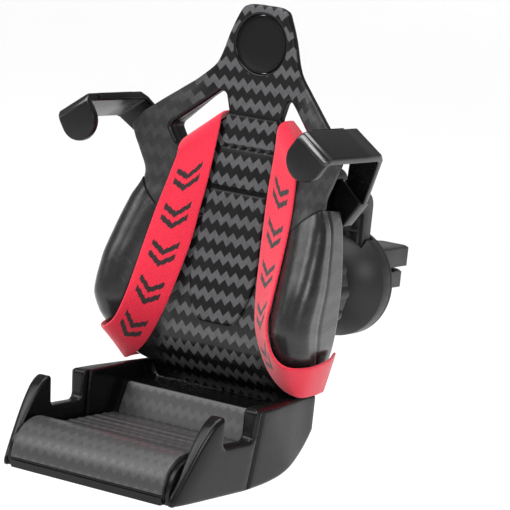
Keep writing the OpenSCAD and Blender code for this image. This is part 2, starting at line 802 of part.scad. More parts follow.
// ribbed rubber strip let into a jaw
module jaw_pad(length) {
    translate([-pad_hole_x, 0, 0]) cube([2 * pad_hole_x, length, 0.9]);
    for (k = [0:4]) translate([-pad_hole_x, 1 + k * (length - 3) / 4, 0.8]) cube([2 * pad_hole_x, 1.2, 0.5]);
}

module upper_jaw_pad() {
    color(rubber_black) translate([0, plate_y + 4, upper_jaw_z + 0.9]) mirror([0, 0, 1]) jaw_pad(20);
}

module lower_jaw_pad() {
    color(rubber_black) translate([0, plate_y + 4, lower_jaw_z - 0.9]) jaw_pad(18);
}

module release_lever() {
    top = ball_z + 30;
    lip_y = lever_front_y - 2;
    color(black) difference() {
        union() {
            along_y(lever_front_y, lever_rear_y) square_between(-lever_x, lower_jaw_z, lever_x, top - 5);
            // rounded head that curls over the ball side
            along_x(-lever_x, lever_x) {
                intersection() {
                    translate([lever_rear_y - 5, top - 5]) circle(5);
                    square_between(lever_rear_y - 10, top - 5, lever_rear_y, top);
                }
                square_between(lip_y + 2, top - 8, lever_rear_y, top - 4.9);
                translate([lip_y + 1.4, top - 5.4]) circle(1.4);
                square_between(lip_y + 1.4, top - 6.8, lever_front_y + 1, top - 4);
            }
        }
        // grid of finger recesses on the ball side
        for (column = [0:3], row = [0:1])
            translate([-7.4 + column * 3.9, lever_front_y - 3, top - 12.4 - row * 4.2]) cube([3, 4, 3.4]);
    }
}

module jaw_spring() {
    color(steel) translate([0, lever_front_y + 2.6, ball_z - spring_drop]) difference() {
        cylinder(h = spring_drop - 1.7, r = 2);
        translate([0, 0, -1]) cylinder(h = 20, r = 1.4);
    }
}

// ---------------------------------------------------------------- assembly

translate([0, -origin_y, -origin_z]) {
    seat_shell();
    seat_head();
    headrest_dish();
    cushion_upper();
    cushion_mid();
    lumbar_tongue();
    strap_left();
    strap_right();
    seat_back_cover();
    seat_carriage();
    seat_screw(0);  // seat_screw_1
    seat_screw(1);  // seat_screw_2
    seat_screw(2);  // seat_screw_3
    seat_screw(3);  // seat_screw_4
    tray_front();
    tray_rear();
    front_roll();
    tray_floor_pad();
    rear_floor_panel();
    tray_bottom_cover();
    arm_left();
    arm_right();
    arm_pad_left();
    arm_pad_right();
    cam_pin_left();
    cam_pin_right();
    rear_housing();
    housing_cover();
    return_spring(-11);  // return_spring_left
    return_spring(11);  // return_spring_right
    housing_screw(0);  // housing_screw_1
    housing_screw(1);  // housing_screw_2
    housing_screw(2);  // housing_screw_3
    housing_screw(3);  // housing_screw_4
    collar_nut();
    outer_liner();
    inner_liner();
    ball_stem();
    clip_body();
    face_plate();
    upper_jaw();
    upper_jaw_pad();
    lower_jaw();
    lower_jaw_pad();
    release_lever();
    jaw_spring();
}
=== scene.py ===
"""Looks of a phone holder shaped like a racing seat, with its ball joint and vent clip.

Shapes are drawn in millimetres in the seat's own drawing frame: the housing's rear face is y = 0,
the flat of the tray is z = 0, +Z is up and -Y is the side the phone faces. at() turns such a point
into metres in the row frame.
"""
import math

import bmesh
import bpy
import numpy as np
from mathutils import Matrix, Vector
from mathutils.geometry import delaunay_2d_cdt


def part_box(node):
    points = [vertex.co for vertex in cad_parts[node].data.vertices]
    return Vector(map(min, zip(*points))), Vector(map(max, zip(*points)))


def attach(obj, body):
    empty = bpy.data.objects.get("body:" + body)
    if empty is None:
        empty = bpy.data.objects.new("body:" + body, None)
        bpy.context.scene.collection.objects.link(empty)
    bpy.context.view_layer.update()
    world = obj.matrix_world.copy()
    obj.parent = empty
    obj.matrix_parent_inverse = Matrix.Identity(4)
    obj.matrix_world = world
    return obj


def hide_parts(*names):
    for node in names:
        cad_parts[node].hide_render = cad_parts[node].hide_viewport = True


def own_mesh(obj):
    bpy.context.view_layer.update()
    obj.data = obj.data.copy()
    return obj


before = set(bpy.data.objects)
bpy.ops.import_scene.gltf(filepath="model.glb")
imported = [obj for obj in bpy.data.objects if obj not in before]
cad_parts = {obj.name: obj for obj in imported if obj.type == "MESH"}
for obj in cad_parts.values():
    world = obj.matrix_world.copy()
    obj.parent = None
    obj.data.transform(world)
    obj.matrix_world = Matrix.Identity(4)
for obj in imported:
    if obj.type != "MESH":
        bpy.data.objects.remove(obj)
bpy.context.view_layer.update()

MM = 0.001
COVER_REAR_Y = -12.3
WELD_M = 2e-6
SHARP_DEGREES = 38
ORIGIN = Vector((0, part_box("seat_back_cover")[1].y - COVER_REAR_Y * MM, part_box("tray_front")[0].z))


def at(x, y, z):
    """A point of the drawing frame, in metres in the row frame."""
    return Vector((x, y, z)) * MM + ORIGIN


def drawn(point):
    """The reverse of at()."""
    return (point - ORIGIN) / MM


# ------------ curves

def monotone(xs, ys):
    """A smooth curve through the points that never overshoots, as a function."""
    xs, ys = np.asarray(xs, float), np.asarray(ys, float)
    slope = np.diff(ys) / np.diff(xs)
    product = slope[:-1] * slope[1:]
    total = slope[:-1] + slope[1:]
    inner = np.where(product > 0, 2 * product / np.where(product > 0, total, 1), 0)
    tangent = np.concatenate([[slope[0]], inner, [slope[-1]]])

    def value(x):
        x = np.clip(np.asarray(x, float), xs[0], xs[-1])
        i = np.clip(np.searchsorted(xs, x) - 1, 0, len(xs) - 2)
        h = xs[i + 1] - xs[i]
        t = (x - xs[i]) / h
        return (ys[i] * (1 + 2 * t) * (1 - t) ** 2 + tangent[i] * h * t * (1 - t) ** 2
                + ys[i + 1] * t * t * (3 - 2 * t) + tangent[i + 1] * h * t * t * (t - 1))
    return value


def spline(points, per_span):
    """A Catmull-Rom curve through the points, in any number of dimensions."""
    p = np.asarray(points, float)
    p = np.vstack([2 * p[0] - p[1], p, 2 * p[-1] - p[-2]])
    out = []
    for i in range(1, len(p) - 2):
        for t in np.arange(per_span) / per_span:
            a = -t ** 3 + 2 * t ** 2 - t
            b = 3 * t ** 3 - 5 * t ** 2 + 2
            c = -3 * t ** 3 + 4 * t ** 2 + t
            d = t ** 3 - t ** 2
            out.append(0.5 * (a * p[i - 1] + b * p[i] + c * p[i + 1] + d * p[i + 2]))
    return np.array(out + [p[-2]])


def distances(points):
    """How far along the line each of its points is."""
    return np.concatenate([[0], np.cumsum(np.linalg.norm(np.diff(points, axis=0), axis=1))])


def unit(vectors):
    """The same directions at length 1."""
    return vectors / np.linalg.norm(vectors, axis=-1, keepdims=True)


def spaced(points, step, closed=False):
    """The same line with its points evenly spaced, about step apart."""
    p = np.asarray(points, float)
    if closed:
        p = np.vstack([p, p[:1]])
    along = distances(p)
    n = max(3, round(along[-1] / step))
    where = np.linspace(0, along[-1], n + 1)
    out = np.stack([np.interp(where, along, p[:, k]) for k in range(p.shape[1])], axis=1)
    return out[:-1] if closed else out


def fillet(corners, radius):
    """A closed outline with each corner rounded. radius is one number or one for each corner."""
    step_degrees = 8
    corners = np.asarray(corners, float)
    radii = np.broadcast_to(radius, len(corners))
    out = []
    for i, corner in enumerate(corners):
        a, b = corners[i - 1] - corner, corners[(i + 1) % len(corners)] - corner
        la, lb = np.linalg.norm(a), np.linalg.norm(b)
        a, b = a / la, b / lb
        half = math.acos(float(np.clip(a @ b, -1, 1))) / 2
        reach = min(radii[i] / max(math.tan(half), 1e-6), 0.48 * la, 0.48 * lb)
        r = reach * math.tan(half)
        if r < 0.02 or half > math.radians(88):
            out.append(corner)
            continue
        centre = corner + (a + b) / np.linalg.norm(a + b) * r / math.sin(half)
        start, end = corner + a * reach - centre, corner + b * reach - centre
        sweep_angle = math.pi - 2 * half
        turn = math.copysign(1, start[0] * end[1] - start[1] * end[0])
        n = max(2, math.ceil(math.degrees(sweep_angle) / step_degrees))
        for k in range(n + 1):
            c, s = math.cos(turn * sweep_angle * k / n), math.sin(turn * sweep_angle * k / n)
            out.append(centre + np.array([c * start[0] - s * start[1], s * start[0] + c * start[1]]))
    return np.array(out)


def rounded(corners, radius, step):
    """A closed outline with rounded corners and evenly spaced points."""
    return spaced(fillet(corners, radius), step, closed=True)


def mirrored(half):
    """A closed outline from its right half, which starts and ends on the middle line."""
    return np.vstack([half[:-1], half[:0:-1] * [-1, 1]])


def full_turn(n):
    """n angles spread evenly over a full turn."""
    return np.arange(n) * 2 * math.pi / n


def circle(radius, centre, n):
    angle = full_turn(n)
    return np.stack([centre[0] + radius * np.cos(angle), centre[1] + radius * np.sin(angle)], axis=1)


# ------------ meshes

def make(name, points, faces, uv=None):
    """An object from points in millimetres, its faces turned outwards. uv is one pair for each point."""
    mesh = bpy.data.meshes.new(name)
    mesh.from_pydata([at(*p) for p in points], [], [tuple(int(i) for i in f) for f in faces])
    if uv is not None:
        layer = mesh.uv_layers.new(name="mm")
        index = np.zeros(len(mesh.loops), int)
        mesh.loops.foreach_get("vertex_index", index)
        layer.data.foreach_set("uv", np.asarray(uv, float)[index].ravel())
    bm = bmesh.new()
    bm.from_mesh(mesh)
    bmesh.ops.recalc_face_normals(bm, faces=bm.faces)
    bm.to_mesh(mesh)
    bm.free()
    return finish_mesh(name, mesh)


def finish_mesh(name, mesh, sharp=SHARP_DEGREES):
    """Shades a mesh smooth, apart from its sharp edges, and puts it in the scene."""
    mesh.validate()
    mesh.polygons.foreach_set("use_smooth", [True] * len(mesh.polygons))
    mesh.set_sharp_from_angle(angle=math.radians(sharp))
    obj = bpy.data.objects.new(name, mesh)
    bpy.context.scene.collection.objects.link(obj)
    return obj


def join(name, pieces):
    """One object out of several, with the uv of those that have one."""
    bm = bmesh.new()
    for piece in pieces:
        if not piece.data.uv_layers:
            piece.data.uv_layers.new(name="mm")
        bm.from_mesh(piece.data)
    mesh = bpy.data.meshes.new(name)
    bm.to_mesh(mesh)
    bm.free()
    for piece in pieces:
        bpy.data.meshes.remove(piece.data)
    return finish_mesh(name, mesh)


def flipped(name, obj):
    """A copy of the piece on the other side of the middle plane."""
    mesh = obj.data.copy()
    mesh.transform(Matrix.Diagonal((-1, 1, 1, 1)))
    mesh.flip_normals()
    return finish_mesh(name, mesh)


def inside(points, loop):
    """Which points lie in a closed outline."""
    x, y = points[:, 0], points[:, 1]
    hit = np.zeros(len(points), bool)
    for (x0, y0), (x1, y1) in zip(loop, np.roll(loop, -1, axis=0)):
        if y0 == y1:
            continue
        crosses = ((y0 > y) != (y1 > y)) & (x < (x1 - x0) * (y - y0) / (y1 - y0) + x0)
        hit ^= crosses
    return hit


def turned(loop, clockwise):
    """The outline in the wanted direction."""
    area = np.sum(loop[:, 0] * np.roll(loop[:, 1], -1) - np.roll(loop[:, 0], -1) * loop[:, 1])
    return loop[::-1] if (area > 0) == clockwise else loop


def moved_in(loop, distance):
    """The outline moved to its left by a small distance, which is into the material."""
    before = unit(loop - np.roll(loop, 1, axis=0))
    after = unit(np.roll(loop, -1, axis=0) - loop)
    n0, n1 = before[:, ::-1] * [-1, 1], after[:, ::-1] * [-1, 1]
    mitre = (n0 + n1) / np.maximum(1 + (n0 * n1).sum(1), 0.5)[:, None]
    return loop + distance * mitre


def in_material(points, loops):
    """Which points lie in the first outline and in none of the others."""
    keep = inside(points, loops[0])
    for hole in loops[1:]:
        keep &= ~inside(points, hole)
    return keep


def cap(loops, grid):
    """Points and triangles that fill an outline with holes."""
    ring = np.vstack(loops)
    low, high = ring.min(0), ring.max(0)
    rows = np.arange(low[1] + grid / 2, high[1], grid * 0.87)
    lattice = np.array([(x + (k % 2) * grid / 2, y) for k, y in enumerate(rows)
                        for x in np.arange(low[0] - grid / 4, high[0], grid)])
    if len(lattice):
        lattice = lattice[in_material(lattice, loops)]
        gap = np.array([np.min(np.sum((ring - p) ** 2, axis=1)) for p in lattice])
        lattice = lattice[gap > (0.5 * grid) ** 2] if len(lattice) else lattice
    edges, start = [], 0
    for loop in loops:
        n = len(loop)
        edges += [(start + i, start + (i + 1) % n) for i in range(n)]
        start += n
    flat = np.vstack([ring, lattice]) if len(lattice) else ring
    points, _, faces, *_ = delaunay_2d_cdt([Vector(p) for p in flat], edges, [], 1, 1e-5)
    points = np.array([tuple(p) for p in points])
    middles = np.array([points[list(f)].mean(0) for f in faces])
    return points, [f for f, keep in zip(faces, in_material(middles, loops)) if keep]


def at_depth(depth):
    """A flat face of a plate."""
    return lambda u, v: depth + 0 * u


def rounded_rim(front, back, radius, back_radius, steps):
    """The way round a plate's edge: pairs of how far in from the outline, and the depth there."""
    angles = np.linspace(math.pi / 2, 0, steps + 1)

    def arc(face, r, sign, a):
        return r * (1 - math.cos(a)), lambda u, v: face(u, v) + sign * r * (1 - math.sin(a))
    return ([arc(front, radius, 1, a) for a in angles]
            + [arc(back, back_radius, -1, a) for a in angles[::-1]])


def plate(name, outline, front, back, place, holes=(), radius=0.8, back_radius=0.5, grid=1.4, steps=4,
          hole_radius=None):
    """A plate with rounded edges. outline and holes are in u and v, front and back give the depth of the
    two faces at u and v, and place turns u, v and depth into a point in millimetres. The rims of the holes
    are in the second material slot."""
    loops = [turned(np.asarray(outline, float), False)]
    loops += [turned(np.asarray(hole, float), True) for hole in holes]
    rims = [rounded_rim(front, back, radius, back_radius, steps)]
    rims += [rounded_rim(front, back, hole_radius or radius, back_radius, steps)] * len(holes)
    points, uv, faces = [], [], []

    def add(flat, depth):
        start = len(points)
        points.extend(place(u, v, d) for (u, v), d in zip(flat, depth(flat[:, 0], flat[:, 1])))
        uv.extend(map(tuple, flat))
        return start

    rim_ends = []
    for loop, rim in zip(loops, rims):
        n = len(loop)
        starts = [add(moved_in(loop, offset), depth) for offset, depth in rim]
        for a, b in zip(starts, starts[1:]):
            faces += [(a + i, a + (i + 1) % n, b + (i + 1) % n, b + i) for i in range(n)]
        rim_ends.append(len(faces))
    for end in (0, -1):
        flat, triangles = cap([moved_in(loop, rim[end][0]) for loop, rim in zip(loops, rims)], grid)
        start = add(flat, rims[0][end][1])
        faces += [tuple(start + i for i in f) for f in triangles]
    obj = make(name, points, faces, uv)
    mark(obj.data.polygons[rim_ends[0]:rim_ends[-1]])
    return welded(obj)


def mark(polygons):
    """Marks faces for the second material."""
    for polygon in polygons:
        polygon.material_index = 1


def welded(obj):
    """Closes the seams between rings and caps."""
    bm = bmesh.new()
    bm.from_mesh(obj.data)
    bmesh.ops.remove_doubles(bm, verts=bm.verts, dist=WELD_M)
    bmesh.ops.recalc_face_normals(bm, faces=bm.faces)
    bm.to_mesh(obj.data)
    bm.free()
    obj.data.set_sharp_from_angle(angle=math.radians(SHARP_DEGREES))
    return obj


def quads(n, m):
    """The faces between n rings of m points."""
    return [(i * m + j, i * m + (j + 1) % m, (i + 1) * m + (j + 1) % m, (i + 1) * m + j)
            for i in range(n - 1) for j in range(m)]


def lofted(name, rows, uv_rows=None):
    """A solid whose skin runs through rings of points. The first and last ring are filled."""
    rows = np.asarray(rows, float)
    n, m = rows.shape[:2]
    faces = quads(n, m) + [tuple(range(m)), tuple(range((n - 1) * m, n * m))]
    uv = None if uv_rows is None else np.asarray(uv_rows, float).reshape(-1, 2)
    return make(name, rows.reshape(-1, 3), faces, uv)


def tube(name, path, radius):
    """A round wire along a path in millimetres."""
    tangent = unit(np.gradient(path, axis=0))
    side = unit(np.cross(tangent, [0, 0, 1]))
    lift = np.cross(side, tangent)
    angle = full_turn(8)[None, :, None]
    ring = np.cos(angle) * side[:, None] + np.sin(angle) * lift[:, None]
    return lofted(name, path[:, None] + radius * ring)


def revolved(name, profile, centre):
    """A solid of revolution about the Y axis through centre, from pairs of radius and y."""
    return lofted(name, [[(x, y, z) for x, z in circle(r, centre, 72)] for r, y in profile])


def softened(node, width):
    """A copy of a CAD node's mesh with its edges rounded by width millimetres."""
    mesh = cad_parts[node].data.copy()
    bm = bmesh.new()
    bm.from_mesh(mesh)
    bmesh.ops.remove_doubles(bm, verts=bm.verts, dist=WELD_M)
    bmesh.ops.dissolve_limit(bm, angle_limit=math.radians(1), verts=bm.verts, edges=bm.edges)
    bm.to_mesh(mesh)
    bm.free()
    rough = bpy.data.objects.new(node + "_rough", mesh)
    bpy.context.scene.collection.objects.link(rough)
    bevel = rough.modifiers.new("edges", "BEVEL")
    bevel.width = width * MM
    bevel.segments = 3
    bevel.limit_method = "ANGLE"
    bevel.angle_limit = math.radians(32)
    bevel.harden_normals = True
    evaluated = rough.evaluated_get(bpy.context.evaluated_depsgraph_get())
    result = bpy.data.meshes.new_from_object(evaluated)
    bpy.data.objects.remove(rough)
    return finish_mesh(node + "_moulded", result, sharp=40)


# ------------ materials

class Nodes:
    """A short way to write a material's nodes."""

    def __init__(self, name):
        self.material = bpy.data.materials.new(name)
        self.material.use_nodes = True
        self.tree = self.material.node_tree
        self.shader = self.tree.nodes["Principled BSDF"]

    def add(self, kind, **inputs):
        node = self.tree.nodes.new("ShaderNode" + kind)
        for key, value in inputs.items():
            target = node.inputs[int(key[1:])] if key[0] == "_" else node.inputs[key.replace("_", " ")]
            self.put(target, value)
        return node

    def put(self, target, value):
        if isinstance(value, bpy.types.NodeSocket):
            self.tree.links.new(value, target)
        else:
            target.default_value = value

    def math(self, operation, a, b=0.0, c=0.0):
        node = self.add("Math", _0=a, _1=b, _2=c)
        node.operation = operation
        return node.outputs[0]

    def plus(self, a, b):
        return self.math("ADD", a, b)

    def minus(self, a, b):
        return self.math("SUBTRACT", a, b)

    def times(self, a, b):
        return self.math("MULTIPLY", a, b)

    def absolute(self, a):
        return self.math("ABSOLUTE", a)

    def step(self, value, size):
        """The value rounded down to a whole number of sizes."""
        return self.times(self.math("FLOOR", self.math("DIVIDE", value, size)), size)

    def uv(self):
        """Across and along a film or strap in millimetres."""
        layer = self.add("UVMap")
        layer.uv_map = "mm"
        return self.add("SeparateXYZ", Vector=layer.outputs[0]).outputs[:2]

    def ramp(self, value, low, high, to_low=0.0, to_high=1.0):
        node = self.add("MapRange", Value=value, From_Min=low, From_Max=high, To_Min=to_low, To_Max=to_high)
        return node.outputs[0]

    def mix(self, factor, a, b):
        node = self.tree.nodes.new("ShaderNodeMix")
        node.data_type = "RGBA"
        self.put(node.inputs[0], factor)
        self.put(node.inputs[6], a)
        self.put(node.inputs[7], b)
        return node.outputs[2]

    def place(self):
        """Object coordinates in millimetres."""
        coordinates = self.add("TexCoord").outputs["Object"]
        node = self.add("VectorMath", _0=coordinates)
        node.operation = "SCALE"
        node.inputs["Scale"].default_value = 1 / MM
        return node.outputs[0]

    def noise(self, vector, scale, detail=2.0, roughness=0.5):
        node = self.add("TexNoise", Vector=vector, Scale=scale, Detail=detail, Roughness=roughness)
        return node.outputs["Fac"]

    def bump(self, height, strength, distance_mm):
        node = self.add("Bump", Height=height, Strength=strength, Distance=distance_mm * MM)
        self.tree.links.new(node.outputs[0], self.shader.inputs["Normal"])

    def set(self, **values):
        for key, value in values.items():
            self.put(self.shader.inputs[key.replace("_", " ")], value)


def grey(level):
    """A very slightly cool grey."""
    return (level, level, level * 1.04, 1)


def moulded(name, base, roughness, grain_mm, grain_depth, streaks=0.0, gloss=0.35):
    """Injection-moulded plastic: fine grain, patchy gloss and faint rub marks."""
    n = Nodes(name)
    place = n.place()
    grain = n.noise(place, 1 / grain_mm, 3)
    patches = n.noise(place, 0.07, 4)
    rubbed = n.add("Mapping", Vector=place)
    rubbed.inputs["Scale"].default_value = (0.5, 0.5, 5)
    marks = n.ramp(n.noise(rubbed.outputs[0], 1.2, 5, 0.7), 0.55, 0.75)
    rough = n.ramp(patches, 0.3, 0.7, roughness * 0.85, roughness * 1.15)
    rough = n.plus(rough, n.times(marks, streaks))
    colour = n.mix(n.ramp(patches, 0.35, 0.7), grey(base * 0.8), grey(base * 1.25))
    n.set(Base_Color=colour, Roughness=rough, IOR=1.5, Specular_IOR_Level=gloss)
    n.bump(grain, 1.0, grain_depth)
    return n.material


def carbon_bands(n, u, v, pitch=5.7, tooth=3.3, height=1.9):
    """How light the woven pattern is: zigzag bands across, with stepped teeth. u and v in millimetres."""
    saw = n.absolute(n.minus(n.math("FRACT", n.math("DIVIDE", u, tooth)), 0.5))
    shifted = n.plus(n.math("DIVIDE", v, pitch), n.times(saw, 2 * height / pitch))
    band = n.absolute(n.minus(n.math("FRACT", shifted), 0.5))
    return n.ramp(band, 0.26, 0.29)


def carbon(name, strength, dark=0.005, light=0.082, roughness=0.36, fade=None, gloss=0.15,
           coat=0.05, plain=0.25):
    """Printed carbon-weave film under a thin coat, from dark to light. Where the print is weaker it turns
    to an even tone, plain. fade is the |x| range over which it weakens, and to how much."""
    n = Nodes(name)
    u, v = n.uv()
    band = carbon_bands(n, u, v)
    place = n.place()
    if fade:
        across = n.absolute(n.add("SeparateXYZ", Vector=place).outputs[0])
        keep = n.ramp(across, fade[0], fade[1], 1.0, fade[2])
    else:
        keep = n.ramp(n.noise(place, 0.12, 2), 0.3, 0.6, 0.85, 1.0)
    thread = n.math("SINE", n.times(n.plus(u, n.times(v, 0.6)), 14.0))
    keep = n.times(keep, strength)
    level = n.plus(n.times(band, keep), n.times(n.minus(1.0, keep), plain))
    level = n.times(level, n.ramp(thread, -1, 1, 0.86, 1.0))
    level = n.times(level, n.ramp(n.noise(place, 0.9, 4), 0.3, 0.7, 0.8, 1.1))
    colour = n.mix(level, grey(dark), grey(light))
    grain = n.noise(place, 5, 2)
    relief = n.plus(n.times(band, 0.5), n.times(grain, 0.35))
    relief = n.plus(relief, n.times(thread, 0.08))
    rough = n.minus(n.ramp(grain, 0.3, 0.7, roughness * 0.9, roughness * 1.15), n.times(band, 0.04))
    n.set(Base_Color=colour, Roughness=rough, IOR=1.5, Specular_IOR_Level=gloss,
          Coat_Weight=coat, Coat_Roughness=0.22)
    n.bump(relief, 1.0, 0.03)
    return n.material


def webbing(name, stretch, width):
    """Red woven strap with black woven chevrons between the two distances in stretch. The uv runs across
    and along the strap in millimetres."""
    n = Nodes(name)
    across, along = n.uv()
    pick, repeat, slant = 0.42, 12.0, 0.75
    # the marks are woven, so their edges step from thread to thread
    off = n.absolute(n.minus(n.step(across, pick), width / 2))
    slanted = n.minus(n.step(along, pick), n.times(off, slant))
    # ten repeats more keep the value above zero
    cell = n.math("MODULO", n.minus(slanted, stretch[0] - 10 * repeat), repeat)

    def within(value, low, high):
        return n.times(n.math("GREATER_THAN", value, low), n.math("LESS_THAN", value, high))
    chevrons = n.plus(within(cell, 1.0, 2.9), within(cell, 4.6, 6.5))
    marks = n.times(chevrons, n.math("LESS_THAN", off, 3.9))
    marks = n.times(marks, within(slanted, stretch[0], stretch[1]))
    warp = n.math("SINE", n.times(across, 2 * math.pi / pick))
    weft = n.math("SINE", n.times(along, 2 * math.pi / pick))
    twill = n.math("SINE", n.times(n.plus(across, n.times(along, 0.5)), 2 * math.pi / 0.9))
    place = n.place()
    fuzz = n.noise(place, 3.5, 3, 0.7)
    weave = n.plus(n.times(warp, weft), n.times(twill, 0.5))
    # ribs along both selvedges
    edge = n.math("MINIMUM", across, n.minus(width, across))
    selvedge = n.ramp(edge, 0.5, 0.9, 1.0, 0.0)
    height = n.plus(n.times(weave, 0.3), n.times(fuzz, 0.8))
    height = n.plus(height, n.times(selvedge, 0.6))
    height = n.plus(height, n.times(n.times(marks, weft), 0.6))
    shade = n.ramp(n.plus(n.times(weave, 0.12), fuzz), 0.3, 0.8)
    red = n.mix(shade, (0.5, 0.006, 0.025, 1), (0.86, 0.03, 0.07, 1))
    thread_black = n.mix(n.ramp(weft, -0.2, 0.9), (0.008, 0.007, 0.008, 1), (0.045, 0.02, 0.024, 1))
    n.set(Base_Color=n.mix(marks, red, thread_black), Roughness=0.75, Specular_IOR_Level=0.25,
          Sheen_Weight=0.35, Sheen_Roughness=0.45)
    n.bump(height, 1.0, 0.07)
    return n.material


def metal(name, base, roughness):
    """Plated steel with fine drawing marks and a few dull patches."""
    n = Nodes(name)
    place = n.place()
    drawn = n.add("Mapping", Vector=place)
    drawn.inputs["Scale"].default_value = (12, 1, 12)
    lines = n.noise(drawn.outputs[0], 1.5, 3)
    dull = n.noise(place, 0.9, 3)
    worn = base * 0.72
    colour = n.mix(n.ramp(dull, 0.4, 0.7), (base, base, base, 1), (worn, worn, base * 0.74, 1))
    rough = n.ramp(lines, 0.3, 0.7, roughness * 0.8, roughness * 1.3)
    n.set(Base_Color=colour, Metallic=1.0, Roughness=rough)
    n.bump(lines, 0.6, 0.02)
    return n.material


def floor_paper(name):
    """Nearly white paper with faint patches."""
    n = Nodes(name)
    tint = n.ramp(n.noise(n.place(), 0.01, 3), 0.3, 0.7, 0.86, 0.88)
    n.set(Base_Color=n.mix(tint, (0.8, 0.8, 0.8, 1), (0.92, 0.92, 0.92, 1)), Roughness=0.6)
    return n.material


SHELL = carbon("shell_plastic", 1.0, dark=0.005, roughness=0.28, fade=(15.0, 22.0, 0.05), gloss=0.3,
               coat=0.15, plain=0.1)
HEAD = carbon("head_film", 1.0, fade=(15.0, 23.0, 0.15), plain=0.36)
FILM = carbon("carbon_film", 1.0)
FILM_SOFT = carbon("carbon_film_soft", 0.27, dark=0.008, roughness=0.44, gloss=0.4, coat=0.1, plain=0.4)
TRAY = moulded("tray_plastic", 0.004, 0.25, 0.35, 0.010, 0.06, 0.2)
ARM = moulded("arm_plastic", 0.005, 0.26, 0.6, 0.006, 0.04, 0.22)
HOUSING = moulded("housing_plastic", 0.009, 0.44, 0.22, 0.03, 0.05)
CLIP = moulded("clip_plastic", 0.010, 0.42, 0.2, 0.03, 0.05)
RUBBER = moulded("soft_rubber", 0.004, 0.6, 0.3, 0.03, 0.0, 0.15)
SCREW = metal("screw_steel", 0.55, 0.32)
WIRE = metal("spring_wire", 0.62, 0.25)


def dress(obj, material, body, slot, *nodes, second=None):
    """Material, body and the CAD nodes that the piece stands for. slot, the record slot, is not used. second
    goes on the faces that were marked for the second material slot."""
    marked = [polygon.material_index for polygon in obj.data.polygons]
    obj.data.materials.clear()
    obj.data.materials.append(material)
    if second:
        obj.data.materials.append(second)
        obj.data.polygons.foreach_set("material_index", marked)
    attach(obj, body)
    if nodes:
        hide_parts(*nodes)
    return obj


# ------------ backrest surface

# one row per height: z, centre y, end of the flat centre x, bolster crest x and y,
# outer edge x and y, and the x where the side wall meets the rear plane
SEAT_ROWS = np.array([
    [20.1, -15.6, 20.0, 23.5, -16.2, 26.8, -15.0, 26.8],
    [22.0, -16.8, 20.0, 23.5, -17.6, 27.0, -15.9, 27.0],
    [25.5, -21.5, 20.0, 23.5, -22.0, 27.2, -18.0, 27.2],
    [28.0, -24.0, 20.5, 26.7, -25.9, 31.0, -21.5, 29.6],
    [32.0, -26.6, 20.0, 29.3, -30.9, 34.2, -25.5, 31.4],
    [36.0, -27.6, 18.0, 30.5, -34.8, 35.8, -28.5, 32.4],
    [41.0, -27.3, 15.5, 31.7, -38.8, 37.3, -32.5, 33.4],
    [47.0, -26.5, 13.8, 32.2, -41.1, 38.1, -35.0, 34.0],
    [56.0, -25.0, 13.2, 32.1, -38.9, 38.2, -33.0, 34.1],
    [66.0, -23.6, 12.8, 31.2, -34.6, 37.0, -29.6, 33.4],
    [75.0, -22.2, 12.0, 29.8, -30.5, 35.1, -26.6, 32.2],
    [83.0, -20.6, 11.2, 28.0, -27.0, 32.0, -25.4, 30.2],
    [90.0, -19.2, 11.0, 30.8, -26.2, 34.6, -26.2, 31.0],
    [94.0, -18.4, 11.0, 32.8, -26.2, 36.4, -26.8, 31.0],
    [97.0, -18.0, 11.0, 33.6, -26.0, 37.2, -27.0, 31.0],
    [100.5, -17.6, 10.6, 31.6, -24.8, 35.2, -26.0, 31.0],
    [104.5, -17.4, 10.5, 27.6, -23.4, 30.6, -24.6, 30.0],
    [109.6, -17.5, 10.4, 21.8, -20.8, 24.4, -21.8, 24.0],
    [113.8, -17.7, 10.0, 17.4, -19.0, 19.4, -19.6, 19.0],
    [119.3, -17.9, 9.0, 12.9, -18.2, 14.4, -18.2, 14.0],
    [128.5, -18.2, 7.6, 10.1, -18.1, 11.3, -17.9, 11.0],
    [134.0, -18.0, 6.0, 8.0, -18.0, 9.0, -17.8, 8.8],
    [136.4, -17.8, 4.4, 6.6, -17.8, 7.6, -17.6, 7.4],
    [137.5, -17.7, 2.8, 4.6, -17.7, 5.6, -17.6, 5.4]])
CENTRE_Y, FLAT_X, CREST_X, CREST_Y, EDGE_X, EDGE_Y, REAR_X = (
    monotone(SEAT_ROWS[:, 0], SEAT_ROWS[:, k]) for k in range(1, 8))
SHELL_REAR_Y = -12.5
SHELL_WALL = 2.8
PLATE_WALL = 2.8
CUSHION_H = 1.2
INSIDE_POINTS = 7
GROOVE_DEPTH, GROOVE_AT, GROOVE_WIDTH, GROOVE_LOW_Z = 0.55, 0.34, 0.03, 30
LAP_GAP = 0.15
SKIN_DEPTH = 1.2


def ease(t):
    """A smooth step from 0 to 1."""
    t = np.clip(t, 0, 1)
    return t * t * (3 - 2 * t)


def front_y(x, z):
    """Front of the head and shoulder plate at x and z."""
    x = np.abs(x)
    flat, crest, edge = FLAT_X(z), CREST_X(z), EDGE_X(z)
    rise = CENTRE_Y(z) + (CREST_Y(z) - CENTRE_Y(z)) * ease((x - flat) / (crest - flat))
    tail = CREST_Y(z) + (EDGE_Y(z) - CREST_Y(z)) * np.clip((x - crest) / (edge - crest), 0, 1.2) ** 2
    return np.where(x > crest, tail, rise)


def on_seat(x, z, y):
    """Places the points of a plate that faces the front."""
    return (x, y, z)


JOINT_INNER = (23.0, 73.0)
JOINT_OUTER = (32.5, 82.0)


